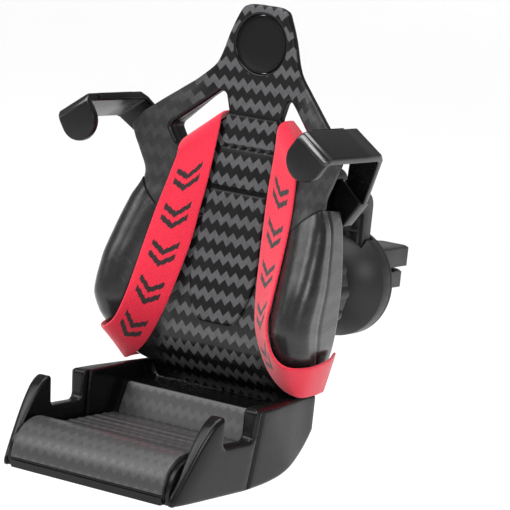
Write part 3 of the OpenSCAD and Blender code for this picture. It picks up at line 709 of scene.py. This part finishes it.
def joint_z(x):
    """Height of the line where the shoulder plate laps onto the bolsters."""
    slope = (JOINT_OUTER[1] - JOINT_INNER[1]) / (JOINT_OUTER[0] - JOINT_INNER[0])
    return np.where(x < JOINT_INNER[0], JOINT_INNER[1],
                    np.minimum(JOINT_INNER[1] + slope * (x - JOINT_INNER[0]),
                               JOINT_OUTER[1] + 0.07 * (x - JOINT_OUTER[0])))


def shell_section(z, groove):
    """The right half of the shell at each height: outside from the middle to the rear, then the inside."""
    yc, flat, crest = CENTRE_Y(z), FLAT_X(z), CREST_X(z)
    ycr, edge, ye, rear = CREST_Y(z), EDGE_X(z), EDGE_Y(z), REAR_X(z)
    outside = [(flat * t, yc) for t in np.linspace(0, 1, 7)[:-1]]
    outside += [(flat + (crest - flat) * t, yc + (ycr - yc) * ease(t)) for t in np.linspace(0, 1, 15)[:-1]]
    outside += [(crest + (edge - crest) * math.sin(a), ycr + (ye - ycr) * (1 - math.cos(a)))
                for a in np.linspace(0, math.pi / 2, 11)[:-1]]
    for t in np.linspace(0, 0.97, 22):
        lip = groove * math.exp(-((t - GROOVE_AT) / GROOVE_WIDTH) ** 2)
        outside.append((edge + (rear - edge) * t - lip, ye + (SHELL_REAR_Y - ye) * t))
    outside += [(rear - 0.25, SHELL_REAR_Y - 0.12), (rear - 0.7, SHELL_REAR_Y)]
    inner_crest = min(ycr + 1.5 * SHELL_WALL, SHELL_REAR_Y - 0.8)
    inner_edge = min(ye + 1, SHELL_REAR_Y - 0.6)
    inner = [(rear - SHELL_WALL, SHELL_REAR_Y),
             (edge - SHELL_WALL, inner_edge),
             ((crest - 1 + edge - SHELL_WALL) / 2, (inner_crest + inner_edge) / 2),
             (crest - 1, inner_crest),
             ((flat + crest) / 2 - 0.7, (yc + SHELL_WALL + inner_crest) / 2),
             (flat - 0.4, yc + SHELL_WALL),
             (0, yc + SHELL_WALL)]
    return outside + inner


def mark_back(obj, half_x):
    """Marks the faces behind the front skin, out to half_x, for the second material."""
    def behind(point):
        x, y, z = drawn(point)
        return abs(x) < half_x and y > float(front_y(x, z)) + SKIN_DEPTH
    mark(polygon for polygon in obj.data.polygons if behind(polygon.center))


def seat_shell():
    """Hollow lower backrest with its two bolsters, a parting groove along each side."""
    low, levels = SEAT_ROWS[0, 0], 90
    columns = len(shell_section(50.0, 0))
    tops = []
    for j in range(columns):
        # the height at which this column meets the shoulder plate, found by repeating
        top = 78.0
        for _ in range(12):
            top = float(joint_z(abs(shell_section(top, 0)[j][0])))
        tops.append(top - LAP_GAP)
    rows = []
    for i in range(levels + 1):
        right = []
        for j, top in enumerate(tops):
            z = low + (top - low) * i / levels
            right.append((*shell_section(z, GROOVE_DEPTH if z > GROOVE_LOW_Z else 0)[j], z))
        rows.append(right + [(-x, y, z) for x, y, z in right[-2:0:-1]])
    rows = np.array(rows)
    n, m = rows.shape[:2]
    points = rows.reshape(-1, 3)
    faces = quads(n, m)
    outside = columns - INSIDE_POINTS

    def facing(j):
        """The column inside that faces column j outside."""
        return columns - 1 - round(j / (outside - 1) * (INSIDE_POINTS - 1))
    # rims between outside and inside, at the bottom and top of the right and left halves
    for ring in (0, n - 1):
        for side in (1, -1):
            for j in range(outside - 1):
                corners = (j, j + 1, facing(j + 1), facing(j))
                faces.append(tuple(dict.fromkeys(ring * m + (side * c) % m for c in corners)))
    shell = make("seat_shell_skin", points, faces, points[:, [0, 2]])
    mark_back(shell, 24.0)
    dress(shell, SHELL, "seat", "moulded_black", "seat_shell", second=TRAY)


SLOT = np.array([[12.0, 109.4], [24.4, 98.2], [21.9, 94.2], [10.6, 104.4]])
SLOT_MARGIN = 1.2
SLOT_CORNER_R = 1.6
SLOT_WALL = 1.2
SLOT_REAR_Y = -16.05
DISH_R = 8.7
DISH_Z = 125.9


def head_outline():
    """The head and shoulder plate seen from the front."""
    heights = np.linspace(81.7, 136.4, 240)
    side = [(float(EDGE_X(z)), z) for z in heights]
    crown = spline([side[-1], (5.4, 137.3), (2.6, 137.5), (0, 137.5)], 8)[1:]
    base = [(0, JOINT_INNER[1] + LAP_GAP), (JOINT_INNER[0], JOINT_INNER[1] + LAP_GAP)]
    return mirrored(spaced(np.vstack([base, side, crown]), 0.55))


def seat_head():
    """Head and shoulder plate with the round recess and two strap slots with walls behind the plate."""
    slot = rounded(moved_in(turned(SLOT, True), SLOT_MARGIN), SLOT_CORNER_R, 0.5)
    skin = plate("skin", head_outline(), front_y, lambda x, z: front_y(x, z) + PLATE_WALL,
                 on_seat, holes=[slot, slot * [-1, 1], circle(DISH_R, (0, DISH_Z), 96)],
                 radius=0.75, back_radius=0.5, grid=1.0, hole_radius=0.9)
    mark_back(skin, 60.0)
    slot = turned(slot, False)
    lining = plate("lining", moved_in(slot, -SLOT_WALL),
                   lambda x, z: front_y(x, z) + PLATE_WALL - 0.5, at_depth(SLOT_REAR_Y),
                   on_seat, holes=[slot], radius=0.05, back_radius=0.25, grid=3.0)
    mark(lining.data.polygons)
    head = join("seat_head_skin", [skin, lining, flipped("lining_left", lining)])
    dress(head, HEAD, "seat", "carbon_look", "seat_head", second=TRAY)


def headrest_dish():
    """Bowl-shaped rubber insert with a thin rounded lip."""
    front = float(CENTRE_Y(DISH_Z))
    rear = front + PLATE_WALL + 0.6
    r = DISH_R - 0.1
    top = front + 0.65
    lip_r, bowl_depth = 0.15, 1.7
    lip = [(r - lip_r + lip_r * math.cos(a), top - lip_r * math.sin(a))
           for a in np.linspace(0, math.pi, 7)]
    bowl = [((r - 2 * lip_r) * math.cos(a), top + bowl_depth * math.sin(a))
            for a in np.linspace(0.1, math.pi / 2, 14)]
    profile = [(0.02, rear), (r - 0.6, rear), (r, rear - 0.5), *lip, *bowl[:-1], (0.02, bowl[-1][1])]
    dish = revolved("headrest_dish_skin", profile, (0, DISH_Z))
    dress(dish, RUBBER, "seat", "rubber_black", "headrest_dish")


def crowned(half_x, z0, z1, height, crown):
    """Front face that follows the backrest, standing proud of it and bulging a little in the middle."""
    def depth(x, z):
        bulge = (1 - (x / half_x) ** 2) * np.sin(np.clip((z - z0) / (z1 - z0), 0, 1) * math.pi) ** 0.5
        return CENTRE_Y(z) - height + crown * (0.4 - bulge)
    return depth


def cushion(node, outline, z0, z1, half_x, radius, crown):
    piece = plate(f"{node}_skin", spaced(outline, 0.5, closed=True),
                  crowned(half_x, z0, z1, CUSHION_H, crown), lambda x, z: CENTRE_Y(z) + 0.3,
                  on_seat, radius=radius, back_radius=0.1, grid=1.0)
    dress(piece, FILM, "seat", "carbon_look", node)


def cushions():
    """Two upper cushions, and the long lumbar tongue below them."""
    upper = fillet([(-9.6, 95.0), (9.6, 95.0), (9.3, 104.2), (-9.3, 104.2)], 1.1)
    cushion("cushion_upper", upper, 95.0, 104.2, 9.6, 0.7, 0.25)
    middle = fillet([(-10.3, 82.5), (10.3, 82.5), (9.8, 94.3), (-9.8, 94.3)], 1.1)
    cushion("cushion_mid", middle, 82.5, 94.3, 10.2, 0.7, 0.25)
    side = spline([(4.8, 42.2), (7.6, 43.6), (9.5, 47.5), (11.2, 53.5), (11.7, 60), (11.0, 70),
                   (10.2, 81.7)], 10)
    tongue = mirrored(np.vstack([[0, 42.2], side, [0, 81.7]]))
    cushion("lumbar_tongue", tongue, 41.0, 82.0, 11.8, 0.9, 0.35)


# ------------ straps

STRAP_INNER = [[31.0, -13.4, 25.9], [31.9, -19.5, 25.9], [31.1, -26.0, 26.0], [27.0, -28.4, 28.2],
               [22.0, -29.4, 33.6], [17.3, -29.6, 43.0], [14.8, -27.9, 52.5], [12.9, -25.1, 64.0],
               [11.8, -23.2, 75.0], [11.0, -21.5, 84.5], [10.6, -19.6, 96.0], [10.3, -18.9, 102.2],
               [10.3, -17.4, 103.7], [10.5, -15.2, 104.0], [10.8, -13.4, 104.0]]
STRAP_OUTER = [[34.0, -13.4, 38.6], [37.4, -22.0, 38.0], [37.0, -31.6, 36.6], [32.8, -37.4, 36.6],
               [28.6, -38.6, 40.2], [25.9, -38.0, 47.5], [25.2, -35.2, 55.5], [24.7, -32.2, 64.0],
               [24.0, -29.0, 73.0], [23.0, -26.3, 81.0], [21.9, -24.3, 88.2], [21.4, -23.7, 91.6],
               [21.2, -21.2, 94.0], [21.5, -16.8, 94.3], [21.8, -13.4, 94.4]]
STRAP_T = 1.0
STRAP_W = 13.4


def strap():
    """The right strap: a flat woven band with soft edges, and how long it is."""
    inner, outer = spline(STRAP_INNER, 12), spline(STRAP_OUTER, 12)
    middle = (inner + outer) / 2
    along = distances(middle)
    across = outer - inner
    normal = unit(np.cross(across, unit(np.gradient(middle, axis=0))))
    # the section as shares of the width and thickness, its edges rounded
    edge, lift = 0.03, 0.08
    top = [(t, 1.0 - 0.10 * (2 * t - 1) ** 8) for t in np.linspace(edge, 1 - edge, 15)]
    section = [(0.0, 0.5), (0.008, 0.8)] + top + [(0.992, 0.8), (1.0, 0.5), (0.992, 0.2)]
    section += [(t, 0.0) for t in np.linspace(1 - edge, edge, 9)] + [(0.008, 0.2)]
    rows, uv = [], []
    for i in range(len(middle)):
        rows.append([inner[i] + s * across[i] + STRAP_T * (lift + (1 - lift) * t) * normal[i]
                     for s, t in section])
        uv.append([(s * STRAP_W, along[i]) for s, _ in section])
    return lofted("strap_right_web", rows, uv), float(along[-1])


def straps():
    """Both straps, which lie on the shell and pass into the slots."""
    right, length = strap()
    red = webbing("strap_webbing", (24.0, 84.0), STRAP_W)
    left = flipped("strap_left_web", right)
    for piece, node in ((right, "strap_right"), (left, "strap_left")):
        dress(piece, red, "seat", "strap_red", node)


# ------------ tray

TRAY_IN = 28.6
TRAY_REAR_IN = 27.8
SEAM_Y = -48.5
FLOOR_Z = 10.0
FLOOR_WALL = 1.8
SHELF_Z = 20
NOTCH_Z = 15.5
WALL_TOP_Z = 24.6
NOTCH_FRONT, NOTCH_REAR = -66.9, -51.0
PLAN_X = monotone([-86, -77, -67, -56, -47, -32, -19, -12],
                  [30.2, 32.4, 33.9, 34.3, 34.1, 32.4, 30.6, 30.0])


def wall_out(y, z):
    """Outer face of a side wall: the plan's curve, drawn in towards the bottom."""
    draft = 31.3 + 0.126 * z
    a, b = PLAN_X(y), draft
    return (a + b - np.sqrt((a - b) ** 2 + 0.5)) / 2


def on_wall(y, z, depth):
    """Places the points of a plate that faces sideways."""
    return (-depth, y, z)


def wall(name, outline, inner):
    """One side wall on the right, from its outer face to x = inner. outline is in y and z."""
    return plate(name, spaced(outline, 0.7, closed=True), lambda y, z: -wall_out(y, z), at_depth(-inner),
                 on_wall, radius=1.5, back_radius=1.0, grid=2.2, steps=6)


def front_wall():
    """Outline of the front side wall: the horn, the phone's notch, and a short rise before the seam."""
    horn = spline([(-85.0, 2.0), (-83.2, 5.4), (-79.9, 11.0), (-76.3, 16.9), (-72.7, 21.6), (-70.4, 23.6)], 8)
    corners = [(-85.2, 0.0), *map(tuple, horn), (-68.3, WALL_TOP_Z), (NOTCH_FRONT, WALL_TOP_Z),
               (NOTCH_FRONT + 1.2, NOTCH_Z), (NOTCH_REAR, NOTCH_Z), (NOTCH_REAR, WALL_TOP_Z),
               (SEAM_Y + 0.05, WALL_TOP_Z), (SEAM_Y, 0.0)]
    return fillet(corners, [1.2] + [0.0] * len(horn) + [0.9, 1.4, 2.0, 2.0, 1.3, 0.1, 0.1])


def rear_wall():
    """Outline of the rear side wall, which curves up underneath towards the back."""
    under = spline([(-50.0, 0.0), (-46, 0.2), (-38, 0.9), (-31, 2.2), (-24.5, 4.6), (-19, 8),
                    (-15.2, 11.5)], 6)[3:]
    corners = [(SEAM_Y + 0.1, WALL_TOP_Z), (SEAM_Y + 0.1, 0.1), *map(tuple, under),
               (-13.2, 14.0), (-13.2, 25.2), (-19.4, 25.2)]
    return fillet(corners, [0.1, 0.1] + [0.0] * len(under) + [0.8, 1.5, 2.0])


def slab(name, half_x, profile):
    """A solid with the same outline in y and z from -half_x to half_x."""
    return plate(name, rounded(profile, 0.25, 0.8), at_depth(-half_x), at_depth(half_x),
                 on_wall, radius=0.05, back_radius=0.05, grid=3.0)


def tray_part(node, outline, inner, floor):
    """A tray moulding: two side walls from an outline in y and z, and the solid between them."""
    right = wall("wall", outline, inner)
    tray = join(f"{node}_skin", [right, flipped("wall_left", right), slab("floor", inner + 0.3, floor)])
    dress(tray, TRAY, "seat", "moulded_black", node)


def tray():
    """Front moulding with a flat floor. The rear one has the ramp, the shelf under the backrest and the
    curved underside."""
    floor_low, shelf_low = FLOOR_Z - FLOOR_WALL, SHELF_Z - FLOOR_WALL
    front, rear = -69.6, SEAM_Y - 0.05
    tray_part("tray_front", front_wall(), TRAY_IN,
              [(front, floor_low), (rear, floor_low), (rear, FLOOR_Z), (front, FLOOR_Z)])
    front = SEAM_Y + 0.05
    upper = [(-13.25, SHELF_Z), (-31, SHELF_Z), (-35.4, FLOOR_Z), (front, FLOOR_Z)]
    inner = [(front, floor_low), (-34.2, floor_low), (-29.8, shelf_low), (-15.2, shelf_low),
             (-15.2, 15), (-18, 11.4), (-24, 6.8), (-31, 4.2), (-38, 2.8), (-42, 2.4)]
    under = [(-42, 0.6), (-38, 0.95), (-31, 2.25), (-24.5, 4.65), (-19, 8.05), (-15.2, 11.55), (-13.25, 14)]
    tray_part("tray_rear", rear_wall(), TRAY_REAR_IN, inner + under + upper)


ROLL_Y, ROLL_Z, ROLL_R = -75.2, 3.2, 10.9
ROLL_REAR_Y = -69.8
ROLL_HALF_X = 26.8
LIP_TOP_Z = 3.4


def on_roll(radius, angle):
    """A point in y and z about the roll's axis. Angle 0 is in front."""
    return (ROLL_Y - radius * math.cos(angle), ROLL_Z + radius * math.sin(angle))


def front_roll():
    """Rolled front edge with its film, a lip below it and a recessed strip at each end."""
    rear = math.pi - math.acos((ROLL_Y - ROLL_REAR_Y) / -ROLL_R)
    arc = [on_roll(ROLL_R, a) for a in np.linspace(rear, 0.03, 34)]
    lip = [(-86.0, 3.3), (-85.55, 3.0), (-85.55, 2.6), (-85.95, 2.3), (-85.6, 0.1), (-83.6, 0.1)]
    back = [on_roll(ROLL_R - 2.2, a) for a in np.linspace(0.05, rear, 20)]
    outline = [(ROLL_REAR_Y, 11.4), *arc, *lip, *back, (ROLL_REAR_Y, 9.6)]
    roll = plate("roll", outline, at_depth(-ROLL_HALF_X), at_depth(ROLL_HALF_X), on_wall,
                 radius=0.45, back_radius=0.45, grid=3.0)
    points = [drawn(vertex.co) for vertex in roll.data.vertices]
    # the print runs round the roll, so v is the distance along the arc
    coordinates = roll.data.uv_layers["mm"].data
    for loop in roll.data.loops:
        p = points[loop.vertex_index]
        coordinates[loop.index].uv = (p.x, ROLL_R * math.atan2(p.z - ROLL_Z, -(p.y - ROLL_Y)))
    # the lip below the film is plain
    for polygon in roll.data.polygons:
        polygon.material_index = int(all(points[v].z < LIP_TOP_Z for v in polygon.vertices))
    dress(roll, FILM_SOFT, "seat", "carbon_look", "front_roll", second=TRAY)
    roll.name = "front_roll_film"
    strip = [on_roll(ROLL_R - 1.3, a) for a in np.linspace(-0.3, rear - 0.1, 24)][2:]
    outline = [(ROLL_REAR_Y, 0.2), (-84.4, 0.2), *strip, (ROLL_REAR_Y, 11.0)]
    right = plate("strip", spaced(outline, 0.8, closed=True), at_depth(-TRAY_IN),
                  at_depth(-ROLL_HALF_X - 0.1), on_wall, radius=0.1, back_radius=0.1, grid=3.0)
    ends = join("front_roll_ends", [right, flipped("strip_left", right)])
    dress(ends, TRAY, "seat", "moulded_black", "front_roll")


def floor_pad():
    """Film-covered floor with rows of small grip teeth."""
    half_x, front, rear = 26.6, -68.6, -36.8
    outline = rounded([(-half_x, front), (half_x, front), (half_x, rear), (-half_x, rear)], 1.0, 1.0)
    pieces = [plate("pad", outline, at_depth(-FLOOR_Z - 1), at_depth(-FLOOR_Z), lambda x, y, d: (x, y, -d),
                    radius=0.4, back_radius=0.05, grid=3.0)]
    pitch, half_w, rib_height, tooth = 4.2, 0.9, 0.4, 2.8
    # half of a rib's section, as shares of its half width and height
    section = [(-1, 0), (-0.7, 0.8), (-0.3, 1)]
    section += [(-w, h) for w, h in reversed(section)]
    xs = np.arange(-26.2, 26.3, tooth / 4)
    heights = rib_height * (0.55 + 0.35 * np.abs(((xs / tooth) % 1) - 0.5) * 2)
    for k in range(7):
        y = -67.4 + k * pitch
        rows = [[(x, y + w * half_w, FLOOR_Z + 0.95 + h * height) for w, h in section]
                for x, height in zip(xs, heights)]
        pieces.append(lofted(f"rib_{k}", rows, [[p[:2] for p in row] for row in rows]))
    pad = join("tray_floor_film", pieces)
    dress(pad, FILM_SOFT, "seat", "carbon_look", "tray_floor_pad")


def rear_panel():
    """Sloping film-covered panel behind the phone's foot."""
    low, high = np.array([-35.6, FLOOR_Z + 0.1]), np.array([-31.4, SHELF_Z])
    length = math.dist(low, high)
    up = (high - low) / length

    def place(x, s, d):
        return (x, low[0] + up[0] * s + up[1] * d, low[1] + up[1] * s - up[0] * d)
    half_x = 25.6
    outline = rounded([(-half_x, 0.2), (half_x, 0.2), (half_x, length), (-half_x, length)], 0.8, 0.8)
    panel = plate("rear_floor_film", outline, at_depth(-0.8), at_depth(0.1), place,
                  radius=0.4, back_radius=0.05, grid=2.0)
    dress(panel, FILM_SOFT, "seat", "carbon_look", "rear_floor_panel")


# ------------ arms

ARM_OPEN_X, ARM_TOP_Z, ARM_SLOPE = 38.4, 106.8, math.radians(34.6)
ARM_W, ARM_T = 12.2, 2.6
ARM_REAR_Y, HOOK_FRONT_Y = -21.0, -51.5
BEND_R, BEND_GROOVE, TONGUE_T = 3.2, 0.35, 2.8
POLISHED = moulded("arm_bend_plastic", 0.006, 0.2, 0.6, 0.004, 0.03, 0.9)


def rounded_bar(half_u, half_w, r):
    """A rounded rectangle as pairs across and through the bar."""
    r = min(r, 0.95 * half_u, 0.95 * half_w)
    out = []
    for su, sw, start in ((1, 1, 0), (-1, 1, 90), (-1, -1, 180), (1, -1, 270)):
        for a in np.radians(np.linspace(start, start + 90, 5)):
            out.append((su * (half_u - r) + r * math.cos(a), sw * (half_w - r) + r * math.sin(a)))
    return out


def arm_right():
    """A sloping plate with a round-nosed hook in front, and a gusset down to the bar that enters the
    housing."""
    across = np.array([math.cos(ARM_SLOPE), 0, -math.sin(ARM_SLOPE)])
    up = np.array([math.sin(ARM_SLOPE), 0, math.cos(ARM_SLOPE)])
    forward = np.array([0, -1.0, 0])
    half = ARM_W / 2
    middle = np.array([ARM_OPEN_X, 0, ARM_TOP_Z]) + half * across
    rows = []

    def spot(y, rise):
        """A point above or below the middle line of the arm's upper face."""
        return middle + [0, y, 0] + up * rise

    def station(centre, u, w, half_u, half_w, r=0.7):
        rows.append([centre + a * u + b * w for a, b in rounded_bar(half_u, half_w, r)])
    # round nose, from its tip up
    y = HOOK_FRONT_Y + TONGUE_T / 2
    for a in np.radians(np.linspace(4, 90, 13)):
        thickness = TONGUE_T * (0.55 + 0.45 * math.sin(a))
        station(spot(y, -half - half * math.cos(a)), across, forward, half * math.sin(a), thickness / 2, 0.6)
    station(spot(y, -BEND_R - 1.0), across, forward, half, TONGUE_T / 2, 0.6)
    # bend with a shallow groove across its middle, then the plate
    for degrees in np.linspace(0, 90, 19):
        a = math.radians(degrees)
        dip = BEND_GROOVE if 41 < degrees < 51 else 0
        w = math.cos(a) * forward + math.sin(a) * up
        centre = spot(HOOK_FRONT_Y + BEND_R, -BEND_R) + w * (BEND_R - (ARM_T + dip) / 2)
        station(centre, across, w, half, (ARM_T - dip) / 2)
    for y in (-46, -40, -30, ARM_REAR_Y - 1.2):
        station(spot(y, -ARM_T / 2), across, up, half, ARM_T / 2)
    # gusset, twisting slightly as it goes down to the block
    start, end = spot(ARM_REAR_Y, -ARM_T / 2), np.array([30.8, -4.7, 85.2])
    end_across = unit(np.array([7.0, 0, -6.3]))
    run = unit(end - start)
    for t in np.linspace(0.06, 1, 8):
        u = unit(across + (end_across - across) * t)
        w = unit(np.cross(run, u))
        station(start + (end - start) * t, u, w * math.copysign(1, w[2]), half + (4.5 - half) * t, 1.0)
    blade = lofted("blade", rows)
    # the outer side of the bend is polished
    mark(polygon for polygon in blade.data.polygons
         if polygon.normal.dot(Vector(up)) > 0.2 and polygon.normal.dot(Vector(forward)) > 0.15)
    block = rounded([(24.8, 75.0), (29.2, 75.0), (34.7, 82.9), (27.5, 89.6), (24.8, 85.6)], 0.8, 0.7)
    block = plate("block", block, at_depth(-8.2), at_depth(-2.9), on_seat,
                  radius=0.7, back_radius=0.5, grid=3.0)
    bar = rounded([(9.5, 75.0), (26, 75.0), (26, 86.0), (9.5, 86.0)], 0.5, 0.8)
    bar = plate("bar", bar, at_depth(-7.2), at_depth(-2.9), on_seat,
                radius=0.3, back_radius=0.3, grid=3.0)
    return join("arm_right_skin", [blade, block, bar])


def arms():
    right = arm_right()
    left = flipped("arm_left_skin", right)
    dress(right, ARM, "right_arm", "arm_black", "arm_right", second=POLISHED)
    dress(left, ARM, "left_arm", "arm_black", "arm_left", second=POLISHED)


# ------------ springs

def coil(name, x, y, z0, z1, outer_r, wire_r, turns):
    """A compression spring with closed, flat ends."""
    r = outer_r - wire_r
    t = np.linspace(0, 1, turns * 20 + 1)
    # the pitch is small in the first and last turn and even in between
    rise = np.interp(t, [0, 1 / turns, 1 - 1 / turns, 1], [0, 0.03, 0.97, 1])
    z = z0 + wire_r + (z1 - z0 - 2 * wire_r) * rise
    angle = t * turns * 2 * math.pi
    return tube(name, np.stack([x + r * np.cos(angle), y + r * np.sin(angle), z], axis=1), wire_r)


def springs():
    """The coils stand where CAD has plain tubes, each with a mesh of its own."""
    y, travel = -4.95, 8.0
    for side, x in (("left", -11.0), ("right", 11.0)):
        node = f"return_spring_{side}"
        z0, z1 = (drawn(p).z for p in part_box(node))
        piece = coil(f"{node}_coil", x, y, z0, z1, 2.1, 0.28, 13)
        dress(piece, WIRE, "housing", "spring_steel", node)
        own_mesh(piece)
    travel = 7.0
    low, high = (drawn(p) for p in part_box("jaw_spring"))
    piece = coil("jaw_spring_coil", 0, (low.y + high.y) / 2, low.z, high.z, 2.0, 0.26, 6)
    dress(piece, WIRE, "clip", "spring_steel", "jaw_spring")
    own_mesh(piece)


# ------------ parts kept close to their CAD shape

# material, body and record slot, and how far the edges of each part are rounded
MOULDED = [
    (HOUSING, "housing", "housing_black", {"rear_housing": 0.45, "housing_cover": 0.35}),
    (HOUSING, "collar", "housing_black", {"collar_nut": 0.5}),
    (TRAY, "seat", "moulded_black", {"seat_back_cover": 0.4, "seat_carriage": 0.3, "tray_bottom_cover": 0.3}),
    (CLIP, "clip", "clip_black", {"clip_body": 0.35, "face_plate": 0.3, "upper_jaw": 0.45}),
    (CLIP, "slider", "clip_black", {"lower_jaw": 0.45, "release_lever": 0.4}),
    (RUBBER, "clip", "rubber_black", {"upper_jaw_pad": 0.12}),
    (RUBBER, "slider", "rubber_black", {"lower_jaw_pad": 0.12}),
    (RUBBER, "left_arm", "rubber_black", {"arm_pad_left": 0.12}),
    (RUBBER, "right_arm", "rubber_black", {"arm_pad_right": 0.12}),
]
PLAIN = {"ball_stem": CLIP, "outer_liner": RUBBER, "inner_liner": RUBBER,
         "cam_pin_left": SCREW, "cam_pin_right": SCREW,
         **{f"{part}_screw_{k}": SCREW for part in ("seat", "housing") for k in range(1, 5)}}


def moulded_parts():
    """Rounded copies of CAD parts, and new materials for the small parts that stay as they are."""
    for material, body, slot, widths in MOULDED:
        for node, width in widths.items():
            dress(softened(node, width), material, body, slot, node)
    for node, material in PLAIN.items():
        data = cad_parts[node].data
        data.materials.clear()
        data.materials.append(material)


# ------------ floor, light and camera

FLOOR_DROP = -40.0


def direction(azimuth, elevation):
    """From the holder towards a place at these angles in degrees. Azimuth 0 is in front of it."""
    a, e = math.radians(azimuth), math.radians(elevation)
    return Vector((math.sin(a) * math.cos(e), -math.cos(a) * math.cos(e), math.sin(e)))


def add_lamp(kind, name, azimuth, elevation, distance, energy):
    """A lamp that faces the middle of the holder from an angle in degrees and a distance in metres."""
    lamp = bpy.data.lights.new(name, kind)
    lamp.energy = energy
    obj = bpy.data.objects.new(name, lamp)
    away = direction(azimuth, elevation)
    obj.location = at(0, -25, 60) + away * distance
    obj.rotation_euler = away.to_track_quat("Z", "Y").to_euler()
    bpy.context.scene.collection.objects.link(obj)
    return lamp


def studio():
    """A white floor low enough for the seat at every pose, that curves up far away, and the lamps."""
    sides, flat_r, cove_r = 96, 4000, 2000
    rings = [(flat_r + cove_r * math.sin(a), FLOOR_DROP + cove_r * (1 - math.cos(a)))
             for a in np.linspace(0, math.pi / 3, 13)]
    points = [(x, y, z) for r, z in rings for x, y in circle(r, (0, 0), sides)]
    floor = make("floor", points, [tuple(range(sides))] + quads(len(rings), sides))
    floor.data.materials.append(floor_paper("floor_paper"))
    world = bpy.data.worlds.new("studio")
    bpy.context.scene.world = world
    world.use_nodes = True
    background = world.node_tree.nodes["Background"]
    background.inputs["Color"].default_value = (1, 1, 1, 1)
    background.inputs["Strength"].default_value = 0.3
    for name, azimuth, elevation, width, height, watts in (
            ("side", 60, 26, 0.18, 0.18, 1.4), ("front", -50, 30, 0.25, 0.25, 0.7),
            ("strip", 8, 56, 0.2, 0.6, 3.2)):
        lamp = add_lamp("AREA", name, azimuth, elevation, 0.7, watts)
        lamp.shape = "RECTANGLE"
        lamp.size = width
        lamp.size_y = height
    # suns light the whole floor evenly, right back to where the picture ends
    for name, azimuth, elevation, strength in (("key", -35, 48, 1.3), ("above", 200, 80, 1.6)):
        lamp = add_lamp("SUN", name, azimuth, elevation, 1.0, strength)
        lamp.angle = math.radians(35)
    bpy.context.scene.view_settings.view_transform = "Standard"


def camera():
    """Eye a little above the tray, to the right of the seat, with the picture turned a few degrees."""
    back = direction(32.9, 8.74)
    roll = math.radians(6.04)
    distance = 878.4
    right = (-back).cross(Vector((0, 0, 1))).normalized()
    up = right.cross(-back)
    x_axis = math.cos(roll) * right + math.sin(roll) * up
    y_axis = -math.sin(roll) * right + math.cos(roll) * up
    data = bpy.data.cameras.new("camera")
    data.sensor_width = 36
    data.lens = 206.7
    data.shift_x = 0.0416
    data.shift_y = 0.0155
    data.clip_start = 0.01
    obj = bpy.data.objects.new("camera", data)
    matrix = Matrix((x_axis, y_axis, back)).transposed().to_4x4()
    matrix.translation = at(0, -20, 60) + back * distance * MM
    obj.matrix_world = matrix
    bpy.context.scene.collection.objects.link(obj)
    bpy.context.scene.camera = obj


seat_shell()
seat_head()
headrest_dish()
cushions()
straps()
tray()
front_roll()
floor_pad()
rear_panel()
arms()
springs()
moulded_parts()
studio()
camera()
